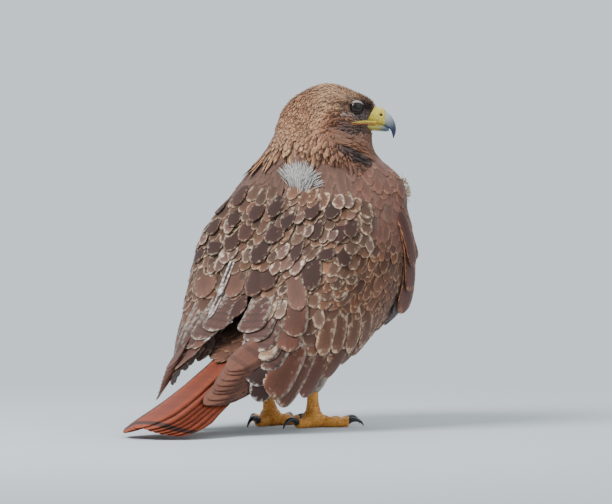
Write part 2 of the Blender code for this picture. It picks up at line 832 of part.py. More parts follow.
def tail_vanes(rows):
    """Six pairs of tail feathers fanned from the root, the middle pair on top."""
    last = len(rows) - 1
    made = []
    for pair in range(TAIL_PAIRS):
        for side in (-1, 1):
            root_out = TAIL_ROOTS[0] + TAIL_ROOTS[1] * pair
            tip_out = TAIL_TIPS[0] + TAIL_TIPS[1] * pair
            length = TAIL_LENGTH - 0.5 * pair**2
            stand = TAIL_TOP - TAIL_STEP * (2 * pair + (side > 0))
            made.append(
                vane(
                    rows,
                    (0.12, 1 + side * root_out / TAIL_HALF),
                    (last * length / TAIL_LENGTH, 1 + side * tip_out / TAIL_HALF),
                    TAIL_WIDTH,
                    (stand, stand),
                    1,
                    0.0,
                    TAIL_VANE_THICKNESS,
                )
            )
    return made


def tail_coverts(rows):
    """Upper tail coverts over the roots of the tail and softer coverts under them."""
    made = []
    for tip, count, spread, at_root, width, low, high in TAIL_COVERTS:
        for k in range(count):
            out = spread * (2 * k / (count - 1) - 1)
            root = (0.1, 1 + at_root * out / TAIL_HALF)
            made.append(vane(rows, root, (tip, 1 + out / TAIL_HALF), width, (low, high), 1))
    return made


def build_tail():
    """The tail: a root that meets the torso, with the feathers fanned out of it."""
    rows = tail_rows()
    above, below, lost = TAIL_ROOT_DEPTH
    root_rings = []
    for share in (0.0, 0.35, 0.7, 1.0):
        s = 0.02 + 1.05 * share
        middle = Vector(sheet_point(rows, s, 1)) * MM
        _, _, _, normal = sheet_frame(rows, s, 1, 1)
        up = Vector(normal)
        half = (TAIL_ROOT_HALF_WIDTH - 4 * share) * MM
        upper, lower = (above - lost * share) * MM, (below - lost * share) * MM
        ring = []
        for k in range(20):
            turn = 2 * math.pi * k / 20
            depth = upper if math.cos(turn) > 0 else lower
            ring.append(
                middle
                + Vector((half * math.sin(turn), 0, 0))
                + up * depth * math.cos(turn)
            )
        root_rings.append(ring)
    tail = loft("tail", root_rings, RUFOUS)
    pieces = vane_objects(tail_vanes(rows) + tail_coverts(rows), RUFOUS)
    combine(tail, pieces, "UNION")
    combine(tail, [swollen_trunk()], "DIFFERENCE")
    cut_flat(tail, Vector((0, 0, 0)), Vector((0, 0, -1)))


def build_thigh(label):
    """The feathered thigh, from the flank down to the bare shank."""
    steps = 7
    rings = []
    for k in range(steps):
        x, y, z, half_x, half_y = along(THIGH, (len(THIGH) - 1) * k / (steps - 1))
        rings.append(
            [
                Vector(
                    (
                        x + half_x * math.cos(2 * math.pi * j / THIGH_POINTS),
                        y + half_y * math.sin(2 * math.pi * j / THIGH_POINTS),
                        z,
                    )
                )
                * MM
                for j in range(THIGH_POINTS)
            ]
        )
    thigh = loft(f"thigh_{label}", rings, BREAST, SIDES[label])
    combine(thigh, [swollen_trunk()], "DIFFERENCE")
    return thigh


def toe_route(label, toe):
    """Middle points and radii of a toe in millimetres, and the way it points."""
    turn, length, root_radius, tip_radius, _, _ = TOES[toe]
    heading = FOOT_TURN[label] + math.radians(turn)
    ahead = np.array([math.sin(heading), math.cos(heading), 0])
    joints = 3 if toe == "middle" else 2
    points, radii = [], []
    for k in range(TOE_RINGS):
        share = k / (TOE_RINGS - 1)
        radius = root_radius + (tip_radius - root_radius) * share
        radius *= 1 + 0.09 * math.cos(2 * math.pi * joints * share)
        height = radius * 0.86 + (FOOT_AT[2] - root_radius) * 0.55 * (1 - share) ** 2
        height += 1.2 * share**4
        points.append(np.array(FOOT_AT[:2] + (0,)) + ahead * length * share)
        points[-1] = points[-1] + np.array([0, 0, height])
        radii.append(radius)
    return points, radii, ahead


def build_foot(label):
    """The four toes fused with the pad that they spread from, flat under the soles."""
    across = np.array([math.cos(FOOT_TURN[label]), -math.sin(FOOT_TURN[label]), 0])
    axes = (Vector((0, 0, 1)), Vector(across), Vector((0, 0, 1)).cross(Vector(across)))
    centre = Vector(FOOT_AT) * MM
    radii = [size * MM for size in (10.0, FOOT_PAD_RADIUS, FOOT_PAD_RADIUS)]
    pad = ellipsoid("pad", centre, axes, radii, YELLOW, rings=6, size=14)
    if SIDES[label] < 0:
        mirror_mesh(pad)
    toes = []
    for toe in TOES:
        points, sizes, ahead = toe_route(label, toe)
        rings = [toe_ring(point, ahead, size) for point, size in zip(points, sizes)]
        toes.append(loft(toe, rings, YELLOW, SIDES[label]))
    combine(pad, toes, "UNION")
    pad.name = f"foot_{label}"
    cut_flat(pad, Vector((0, 0, 0)), Vector((0, 0, -1)))
    cut_flat(pad, Vector((0, 0, (TARSUS[-1][2] - 0.3) * MM)), Vector((0, 0, 1)))


def mirror_mesh(item):
    """Turn a right-hand mesh into its left-hand copy."""
    for vertex in item.data.vertices:
        vertex.co.x = -vertex.co.x
    item.data.flip_normals()


def toe_ring(point, ahead, radius):
    """A round section of a toe, across the way it points."""
    across = np.cross(ahead, (0, 0, 1))
    up = np.cross(across, ahead)
    ring = []
    for k in range(TOE_POINTS):
        turn = 2 * math.pi * k / TOE_POINTS
        place = point + (across * math.cos(turn) + up * math.sin(turn)) * radius
        ring.append(Vector(place) * MM)
    return ring


def build_claw(label, toe):
    """A claw that curves forward and down from the end of its toe."""
    points, radii, ahead = toe_route(label, toe)
    _, _, _, _, length, base = TOES[toe]
    start = points[-1] + ahead * 0.3 + np.array([0, 0, 0.4])
    arc = length / CLAW_SWEEP
    up = np.array([0, 0, 1.0])
    lift = math.radians(38)
    rings = []
    for k in range(CLAW_RINGS):
        share = k / (CLAW_RINGS - 1)
        turn = CLAW_SWEEP * share
        way = ahead * math.cos(lift - turn) + up * math.sin(lift - turn)
        centre = (
            start
            + ahead * arc * (math.sin(lift) - math.sin(lift - turn))
            - up * arc * (math.cos(lift) - math.cos(lift - turn))
        )
        if k == 0:
            way = ahead
        radius = base * (1 - share) ** 0.75 + 0.25
        rings.append(toe_ring(centre, way / np.linalg.norm(way), radius))
    claw = loft(f"claw_{label}_{toe}", rings, HORN, SIDES[label])
    cut_flat(claw, Vector((0, 0, 0.3 * MM)), Vector((0, 0, -1)))


def build_leg(label):
    """Thigh, shank, foot and claws of one leg."""
    build_thigh(label)
    rings = []
    steps = 5
    for k in range(steps):
        x, y, z, radius = along(TARSUS, (len(TARSUS) - 1) * k / (steps - 1))
        rings.append(
            [
                Vector(
                    (
                        x + radius * math.cos(2 * math.pi * j / SHANK_POINTS),
                        y + radius * 1.05 * math.sin(2 * math.pi * j / SHANK_POINTS),
                        z,
                    )
                )
                * MM
                for j in range(SHANK_POINTS)
            ]
        )
    loft(f"tarsus_{label}", rings, YELLOW, SIDES[label])
    build_foot(label)
    for toe in TOES:
        build_claw(label, toe)


def main():
    """Build the bird and stand it over the origin."""
    clear_scene()
    build_trunk()
    build_head()
    build_bill()
    build_tail()
    for label in SIDES:
        build_wing(label)
        build_leg(label)
    for item in bpy.context.scene.collection.objects:
        item.data.transform(Matrix.Translation(STANCE_SHIFT))
        item.data.shade_smooth()
        item.data.set_sharp_from_angle(angle=math.radians(40))


main()
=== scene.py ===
"""Looks of a life-size red-tailed hawk that stands at rest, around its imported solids.

The bird faces +Y, its right side is +X and +Z is up. Shapes are worked out in millimetres
about the point between the legs, and meshes are written in metres in the frame's own place.
"""

import logging
import math
from dataclasses import dataclass, field
from enum import Enum

import bpy
import numpy as np
from mathutils import Matrix, Vector, noise


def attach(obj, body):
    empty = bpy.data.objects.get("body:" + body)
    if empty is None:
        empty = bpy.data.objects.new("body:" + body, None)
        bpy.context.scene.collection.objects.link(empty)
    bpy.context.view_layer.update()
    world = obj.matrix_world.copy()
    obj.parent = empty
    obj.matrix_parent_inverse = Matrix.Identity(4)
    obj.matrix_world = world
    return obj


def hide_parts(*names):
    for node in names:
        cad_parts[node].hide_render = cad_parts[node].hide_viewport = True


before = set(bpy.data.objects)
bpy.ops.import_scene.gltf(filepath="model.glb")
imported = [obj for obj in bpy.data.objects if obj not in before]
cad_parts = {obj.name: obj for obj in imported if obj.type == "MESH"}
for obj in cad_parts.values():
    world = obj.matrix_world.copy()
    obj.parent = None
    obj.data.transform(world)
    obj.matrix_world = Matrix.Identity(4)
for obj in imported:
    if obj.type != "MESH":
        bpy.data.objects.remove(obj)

LOG = logging.getLogger("hawk")
MM = 0.001
STANCE = np.array((0.0, 73.14, 0.0))
PATCH = 0.003
HEAD_TURN = math.radians(55)
AHEAD = np.array((math.sin(HEAD_TURN), math.cos(HEAD_TURN), 0.0))
BESIDE = np.array((math.cos(HEAD_TURN), -math.sin(HEAD_TURN), 0.0))
UP = np.array((0.0, 0.0, 1.0))
HEAD_AXIS = np.array((0.0, 46.0, 0.0)) - AHEAD * 26.4


class Side(Enum):
    """The bird's two sides, with the sign of X on each."""

    RIGHT = 1
    LEFT = -1

    @property
    def label(self) -> str:
        """Word that node names use for this side."""
        return self.name.lower()


def linear(hex_colour: str) -> tuple[float, float, float]:
    """Turn an sRGB hex colour to linear red, green and blue.

    Args:
        hex_colour: colour such as "#a04a2c".

    Returns:
        The three linear values.
    """
    values = [int(hex_colour[k : k + 2], 16) / 255 for k in (1, 3, 5)]
    return tuple(v / 12.92 if v <= 0.04045 else ((v + 0.055) / 1.055) ** 2.4 for v in values)


def unit(vectors: np.ndarray) -> np.ndarray:
    """Scale vectors on the last axis to length one."""
    return vectors / np.maximum(np.linalg.norm(vectors, axis=-1, keepdims=True), 1e-9)


def pairs(first: np.ndarray | float, second: np.ndarray | float) -> np.ndarray:
    """Two columns of values, such as row and column, or heights at root and tip."""
    return np.stack(np.broadcast_arrays(np.asarray(first, float), second), -1)


def along(rows: np.ndarray, places: np.ndarray) -> np.ndarray:
    """Read a smooth curve through rows at fractional row numbers.

    Args:
        rows: control values, one row for each whole number.
        places: row numbers to read, also past either end.

    Returns:
        One value of the rows' own shape for each place.
    """
    places = np.atleast_1d(np.asarray(places, float))
    last = len(rows) - 1
    first = np.clip(np.floor(places).astype(int), 0, last - 1)
    step = (places - first).reshape((-1,) + (1,) * (rows.ndim - 1))
    here, after = rows[first], rows[first + 1]
    before = np.where(
        (first > 0).reshape(step.shape), rows[np.maximum(first - 1, 0)], 2 * here - after
    )
    beyond = np.where(
        (first + 2 <= last).reshape(step.shape), rows[np.minimum(first + 2, last)], 2 * after - here
    )
    curve = (
        here * (2 * step**3 - 3 * step**2 + 1)
        + (after - before) / 2 * (step**3 - 2 * step**2 + step)
        + after * (3 * step**2 - 2 * step**3)
        + (beyond - here) / 2 * (step**3 - step**2)
    )
    outside = (step < 0) | (step > 1)
    return np.where(outside, here + (after - here) * step, curve)


def smooth(values: np.ndarray, low: float, high: float) -> np.ndarray:
    """Rise smoothly from 0 at low to 1 at high."""
    share = np.clip((values - low) / (high - low), 0, 1)
    return share * share * (3 - 2 * share)


def bump(points: np.ndarray, centre: np.ndarray, reach: float) -> np.ndarray:
    """A round hill of height one about a centre, in millimetres."""
    return np.exp(-np.sum((points - centre) ** 2, axis=-1) / reach**2)


def head_place(h: float, out: float, z: float) -> np.ndarray:
    """A place on the head: h along the bill's heading, out to its right, and height."""
    return HEAD_AXIS + AHEAD * h + BESIDE * out + UP * z


@dataclass
class Surface:
    """A curved face that feathers lie on, as a dense grid of points in millimetres.

    Rows are numbered 0 to height and columns 0 to width. A wrapped face closes round.
    """

    grid: np.ndarray
    height: float
    width: float
    wrap: bool = False
    outwards: int = 1
    normals: np.ndarray = field(init=False)

    def __post_init__(self) -> None:
        """Work out the outward normal at every grid point."""
        down = np.gradient(self.grid, axis=0)
        if self.wrap:
            around = (np.roll(self.grid, -1, 1) - np.roll(self.grid, 1, 1)) / 2
        else:
            around = np.gradient(self.grid, axis=1)
        self.normals = unit(np.cross(down, around)) * self.outwards

    def _read(self, table: np.ndarray, a: np.ndarray, b: np.ndarray) -> np.ndarray:
        """Read a table of the grid's size between its points.

        Args:
            table: values for each row and column of the grid.
            a: rows to read at.
            b: columns to read at.

        Returns:
            A value for each place.
        """
        rows, columns = table.shape[:2]
        y = a / self.height * (rows - 1)
        x = b / self.width * (columns if self.wrap else columns - 1)
        y0 = np.clip(np.floor(y).astype(int), 0, rows - 2)
        fy = (y - y0)[..., None]
        if self.wrap:
            x0 = np.floor(x).astype(int)
            fx = (x - x0)[..., None]
            x0, x1 = x0 % columns, (x0 + 1) % columns
        else:
            x0 = np.clip(np.floor(x).astype(int), 0, columns - 2)
            fx = (x - x0)[..., None]
            x1 = x0 + 1
        low = table[y0, x0] * (1 - fx) + table[y0, x1] * fx
        high = table[y0 + 1, x0] * (1 - fx) + table[y0 + 1, x1] * fx
        return low * (1 - fy) + high * fy

    def point(self, a: np.ndarray, b: np.ndarray) -> np.ndarray:
        """Points of the face at row a and column b."""
        return self._read(self.grid, a, b)

    def normal(self, a: np.ndarray, b: np.ndarray) -> np.ndarray:
        """Outward unit normals of the face at row a and column b."""
        return unit(self._read(self.normals, a, b))

    def slopes(self, a: np.ndarray, b: np.ndarray) -> tuple[np.ndarray, np.ndarray]:
        """Change of the point for one row and for one column."""
        step = 0.03
        return (
            (self.point(a + step, b) - self.point(a - step, b)) / (2 * step),
            (self.point(a, b + step) - self.point(a, b - step)) / (2 * step),
        )

    def girth(self, row: float, count: int) -> float:
        """Length round a wrapped face at one row, over a count of steps."""
        ring = self.point(np.full(count, row), np.linspace(0, self.width, count + 1)[:-1])
        return np.linalg.norm(ring - np.roll(ring, 1, 0), axis=1).sum()

    def shift(self, a: np.ndarray, b: np.ndarray, move: np.ndarray) -> np.ndarray:
        """Turn a move in millimetres along the face to rows and columns.

        Args:
            a: row of the start.
            b: column of the start.
            move: vector along the face.

        Returns:
            The change of row and column, on the last axis.
        """
        pa, pb = self.slopes(a, b)
        aa, ab, bb = (pa * pa).sum(-1), (pa * pb).sum(-1), (pb * pb).sum(-1)
        ma, mb = (pa * move).sum(-1), (pb * move).sum(-1)
        det = np.maximum(aa * bb - ab * ab, 1e-6)
        return np.stack([(bb * ma - ab * mb) / det, (aa * mb - ab * ma) / det], axis=-1)

    def solid(self, lift: float, depth: float) -> tuple[np.ndarray, np.ndarray]:
        """A closed slab from the face raised by lift down to a depth under it.

        Args:
            lift: height of the outer face over the grid.
            depth: depth of the inner face under the grid.

        Returns:
            Points in millimetres and triangles.
        """
        rows, columns = self.grid.shape[:2]
        outer = (self.grid + self.normals * lift).reshape(-1, 3)
        inner = (self.grid - self.normals * depth).reshape(-1, 3)
        index = np.arange(rows * columns).reshape(rows, columns)
        quads = np.stack([index[:-1, :-1], index[:-1, 1:], index[1:, 1:], index[1:, :-1]], -1)
        quads = quads.reshape(-1, 4)
        rim = np.concatenate([index[0, :-1], index[:-1, -1], index[-1, :0:-1], index[:0:-1, 0]])
        after = np.roll(rim, -1)
        count = rows * columns
        walls = np.stack([after, rim, rim + count, after + count], -1)
        faces = np.concatenate([quads, quads[:, ::-1] + count, walls])
        triangles = np.concatenate([faces[:, [0, 1, 2]], faces[:, [0, 2, 3]]])
        return np.concatenate([outer, inner]), triangles


TRUNK = np.array(
    [
        (-66, 97, 25, 14, 15),
        (-44, 110, 43, 25, 33),
        (-20, 130, 63, 36, 55),
        (2, 155, 80, 44, 72),
        (20, 182, 88, 48, 80),
        (34, 210, 88, 46, 78),
        (42, 238, 80, 44, 70),
        (45, 262, 64, 46, 55),
        (46, 280, 50, 47, 45),
        (46, 292, 44, 46, 42),
    ],
    float,
)
TRUNK_SQUARENESS = 2.2
HEAD = np.array(
    [
        (287, -19.5, 75.0, 41.0, 0.20),
        (294, -18.5, 79.0, 37.5, 0.32),
        (302, -16.5, 81.0, 34.0, 0.44),
        (310, -13.5, 82.0, 31.5, 0.50),
        (317, -10.0, 82.5, 29.5, 0.50),
        (323, -5.5, 80.5, 27.5, 0.45),
        (328, -0.5, 75.5, 25.0, 0.40),
        (332, 5.0, 68.0, 22.0, 0.35),
        (336, 12.0, 58.5, 17.5, 0.30),
        (339, 19.0, 51.0, 12.5, 0.20),
        (341.3, 27.0, 43.0, 6.0, 0.10),
        (342.0, 33.0, 37.0, 1.5, 0.0),
    ],
    float,
)
EYE = (61.5, 12.6, 318.4)
EYE_RADIUS = 8.0
WING = np.array(
    [
        [(40, 84, 262), (52, 58, 274), (41, 22, 277), (16, 6, 279)],
        [(72, 80, 240), (90, 50, 248), (51, 6, 254), (9, -6, 263)],
        [(88, 74, 208), (103, 36, 216), (69, -12, 225), (6, -16, 236)],
        [(98, 69, 174), (108, 22, 182), (85, -33, 191), (5, -34, 202)],
        [(98, 53, 134), (108, 2, 146), (82, -54, 158), (5, -54, 168)],
        [(90, 24, 103), (100, -24, 112), (75, -77, 122), (6, -76, 134)],
        [(80, -12, 73), (89, -54, 80), (68, -101, 90), (10, -100, 104)],
        [(67, -50, 44), (73, -86, 52), (58, -122, 64), (20, -130, 80)],
        [(56, -86, 22), (60, -110, 30), (50, -144, 46), (28, -156, 62)],
    ],
    float,
)
PRIMARIES = {
    Side.RIGHT: np.array(
        [
            [(84, -10, 112), (72, -22, 118), (56, -34, 122)],
            [(78, -48, 94), (64, -62, 102), (46, -72, 108)],
            [(66, -94, 73), (51, -106, 82), (33, -114, 88)],
            [(52, -140, 51), (37, -150, 58), (20, -156, 62)],
            [(36, -190, 30), (22, -197, 34), (8, -200, 37)],
        ],
        float,
    ),
    Side.LEFT: np.array(
        [
            [(84, -10, 112), (72, -22, 118), (56, -34, 122)],
            [(84, -48, 92), (70, -60, 101), (53, -70, 110)],
            [(79, -88, 70), (64, -99, 80), (48, -108, 88)],
            [(70, -126, 48), (56, -136, 57), (41, -142, 63)],
            [(60, -160, 29), (47, -168, 37), (33, -172, 43)],
        ],
        float,
    ),
}
TAIL_ROOT = (-66.3, 97.0)
TAIL_LENGTH = 211.0
TAIL_SLOPE = (math.radians(35.5), math.radians(16))
TAIL_HALF = 40.0
TAIL_CAMBER = 0.0016
THIGH = np.array(
    [
        (44, 26, 128, 33, 40),
        (40, 18, 104, 29, 34),
        (35, 6, 82, 22, 26),
        (31, -4, 60, 15, 18),
        (28, -8, 40, 9, 11),
    ],
    float,
)


def sheet(rows: np.ndarray, side: Side, outwards: int, fine: int = 14) -> Surface:
    """Make a face from rows of points given for the right side.

    Args:
        rows: rows by columns of points in millimetres.
        side: the side to build it on.
        outwards: sign that turns its normals outwards on the right side.
        fine: grid steps to one row or column.

    Returns:
        The face, mirrored for the left side.
    """
    height, width = rows.shape[0] - 1, rows.shape[1] - 1
    a = np.linspace(0, height, height * fine + 1)
    b = np.linspace(0, width, width * fine + 1)
    tall = along(rows, a)
    grid = along(np.swapaxes(tall, 0, 1), b).swapaxes(0, 1)
    grid = grid * np.array((side.value, 1, 1))
    return Surface(grid, height, width, False, outwards * side.value)


def body_surface() -> Surface:
    """The torso, neck and head as one closed face, from the tail's root to the crown.

    Returns:
        The face.
    """
    columns = 120
    turn = np.arange(columns) * 2 * math.pi / columns
    rings = []
    for place in np.linspace(0, 8.2, 84):
        y, z, half, back, belly = along(TRUNK, place)[0]
        ahead = unit((along(TRUNK, place + 0.05) - along(TRUNK, place - 0.05))[0][:2])
        power = 2 / TRUNK_SQUARENESS
        wide = np.sign(np.sin(turn)) * np.abs(np.sin(turn)) ** power * half
        out = np.sign(np.cos(turn)) * np.abs(np.cos(turn)) ** power
        out = out * np.where(np.cos(turn) > 0, back, belly)
        rings.append(np.stack([wide, y - ahead[1] * out, z + ahead[0] * out], -1))
    for place in np.linspace(0.35, 11, 90):
        z, back, front, half, narrowing = along(HEAD, place)[0]
        forward = -np.cos(turn + HEAD_TURN)
        wide = half * np.sin(turn + HEAD_TURN) * (1 - narrowing * np.maximum(forward, 0))
        h = (back + front) / 2 + (front - back) / 2 * forward
        rings.append(HEAD_AXIS + h[:, None] * AHEAD + wide[:, None] * BESIDE + z * UP)
    grid = np.array(rings)
    for _ in range(60):
        mixed = grid.copy()
        mixed[70:98] = (grid[69:97] + 2 * grid[70:98] + grid[71:99]) / 4
        grid = mixed
    surface = Surface(grid, 100.0, 100.0, True, -1)
    relief = np.zeros(grid.shape[:2])
    for sign in (1, -1):
        for share in np.linspace(0, 1, 9):
            brow = head_place(50 + 25 * share, sign * (22.5 - 9 * share), 327.5 - 5 * share)
            relief += 1.0 * bump(grid, brow, 4.2)
        relief -= 2.6 * bump(grid, head_place(62.5, sign * 17.5, 318), 7.0)
        relief -= 2.2 * bump(grid, head_place(73.0, sign * 12.5, 313), 6.0)
        relief += 1.6 * bump(grid, head_place(58.0, sign * 22.0, 306), 9.0)
        relief += 1.4 * bump(grid, head_place(36.0, sign * 31.0, 308), 14.0)
    surface.grid = grid + surface.normals * relief[..., None]
    surface.__post_init__()
    return surface


def tail_surface() -> Surface:
    """The upper face of the tail, arched along its length and bowed across.

    Returns:
        The face.
    """
    y, z = TAIL_ROOT
    rows, steps = [], 100
    for step in range(steps + 1):
        slope = TAIL_SLOPE[0] + (TAIL_SLOPE[1] - TAIL_SLOPE[0]) * step / steps
        across = np.linspace(-1, 1, 21)
        drop = TAIL_CAMBER * (across * TAIL_HALF) ** 2
        line = np.stack(
            [across * TAIL_HALF, y + drop * math.sin(slope), z - drop * math.cos(slope)], -1
        )
        rows.append(line)
        y -= TAIL_LENGTH / steps * math.cos(slope)
        z -= TAIL_LENGTH / steps * math.sin(slope)
    return Surface(np.array(rows), 1.0, 2.0, False, 1)


def thigh_surface(side: Side) -> Surface:
    """The feathered thigh as a closed round face from the flank down to the shank.

    Args:
        side: the side of the body.

    Returns:
        The face.
    """
    turn = np.arange(60) * 2 * math.pi / 60
    rings = []
    for place in np.linspace(0, len(THIGH) - 1, 50):
        x, y, z, half_x, half_y = along(THIGH, place)[0]
        ring = np.stack(
            [x + half_x * np.cos(turn), y + half_y * np.sin(turn), np.full(60, z)], -1
        )
        rings.append(ring * np.array((side.value, 1, 1)))
    return Surface(np.array(rings), 1.0, 1.0, True, -side.value)


def out_at(face: Surface, h: float, z: float, sign: int) -> float:
    """How far out the head's face lies at h ahead and z up on one side, in millimetres.

    Args:
        face: the body's outer face.
        h: distance ahead of the head's axis in millimetres.
        z: height in millimetres.
        sign: 1 for the head's right side, -1 for its left.

    Returns:
        The distance in millimetres.
    """
    local = (face.grid - HEAD_AXIS).reshape(-1, 3)
    out = local @ BESIDE * sign
    off = (local @ AHEAD - h) ** 2 + (local[:, 2] - z) ** 2
    weight = np.exp(-off / 4.0) * (out > 0)
    return float((weight * out).sum() / weight.sum())


def closed(grid: np.ndarray) -> tuple[np.ndarray, np.ndarray]:
    """Close a round face with a fan at each end.

    Args:
        grid: rings of points in millimetres.

    Returns:
        Points and triangles.
    """
    rings, columns = grid.shape[:2]
    index = np.arange(rings * columns).reshape(rings, columns)
    after = np.roll(index, -1, 1)
    quads = np.stack([index[:-1], after[:-1], after[1:], index[1:]], -1).reshape(-1, 4)
    low = np.full(columns, rings * columns)
    fans = np.concatenate(
        [
            np.stack([low, after[0], index[0]], -1),
            np.stack([low + 1, index[-1], after[-1]], -1),
        ]
    )
    faces = np.concatenate([quads[:, [0, 1, 2]], quads[:, [0, 2, 3]], fans])
    points = np.concatenate([grid.reshape(-1, 3), grid[[0, -1]].mean(1)])
    return points, faces


def joined(parts: list[tuple[np.ndarray, np.ndarray]]) -> tuple[np.ndarray, np.ndarray]:
    """Join parts, each given as points and faces, to one pair of points and faces.

    Args:
        parts: points and triangles of each part.

    Returns:
        Points and triangles of all parts.
    """
    starts = np.cumsum([0] + [len(points) for points, _ in parts])
    faces = [part[1] + start for part, start in zip(parts, starts)]
    return np.concatenate([points for points, _ in parts]), np.concatenate(faces)


@dataclass(frozen=True)
class Vane:
    """The outline of one kind of feather: stations along it and points across it."""

    stations: tuple[tuple[float, float], ...]
    across: tuple[float, ...] = (-1.0, -0.5, 0.0, 0.5, 1.0)
    thickness: float = 0.35
    arch: float = 0.05
    ragged: float = 0.0

    def outline(self) -> tuple[np.ndarray, np.ndarray, np.ndarray]:
        """Shares along the shaft, widths there, and places across."""
        return *np.array(self.stations).T, np.array(self.across)

    def faces(self) -> np.ndarray:
        """Triangles of one feather: a grid above, a keel below and a pointed tip.

        Returns:
            Three point numbers for each triangle.
        """
        wide, count = len(self.across), len(self.stations)
        ring = wide + 1
        found = []
        for s in range(count - 1):
            for k in range(wide - 1):
                a, b = s * ring + k, s * ring + k + 1
                c, d = b + ring, a + ring
                found += [(a, d, c), (a, c, b)]
            keel, left, right = s * ring + wide, s * ring, s * ring + wide - 1
            found += [(left, keel, keel + ring), (left, keel + ring, left + ring)]
            found += [(keel, right, right + ring), (keel, right + ring, keel + ring)]
        for k in range(wide - 1):
            found.append((k, k + 1, wide))
        last, tip = (count - 1) * ring, count * ring
        for k in range(wide - 1):
            found.append((last + k, tip, last + k + 1))
        found += [(last + wide, tip, last), (last + wide - 1, tip, last + wide)]
        return np.array(found)


BODY_VANE = Vane(((0.0, 0.45), (0.35, 0.9), (0.7, 1.0), (0.9, 0.66)), (-1.0, 0.0, 1.0), 0.3, 0.08)
FACE_VANE = Vane(((0.0, 0.6), (0.5, 1.0), (0.85, 0.7)), (-1.0, 0.0, 1.0), 0.2, 0.03)
HACKLE_VANE = Vane(
    ((0.0, 0.5), (0.3, 1.0), (0.6, 0.8), (0.85, 0.34)), (-1.0, 0.0, 1.0), 0.2, 0.02
)
COVERT_VANE = Vane(
    ((0.0, 0.45), (0.25, 0.8), (0.5, 0.98), (0.66, 1.0), (0.78, 0.9), (0.88, 0.7), (0.95, 0.42)),
    (-1.0, -0.72, -0.4, 0.0, 0.4, 0.72, 1.0),
    thickness=0.3,
    ragged=0.07,
)
FLIGHT_VANE = Vane(
    tuple((u, 0.62 + 0.38 * math.sin(math.pi * min(u / 0.8, 1) / 2)) for u in np.linspace(0, 0.8, 9))
    + ((0.87, 0.93), (0.92, 0.78), (0.96, 0.56), (0.985, 0.3)),
    (-1.0, -0.62, -0.22, 0.0, 0.22, 0.62, 1.0),
    thickness=0.5,
    arch=0.03,
    ragged=0.02,
)
DOWN_VANE = Vane(((0.0, 0.7), (0.4, 1.0), (0.8, 0.6)), (-1.0, 0.0, 1.0), 0.3, 0.1)


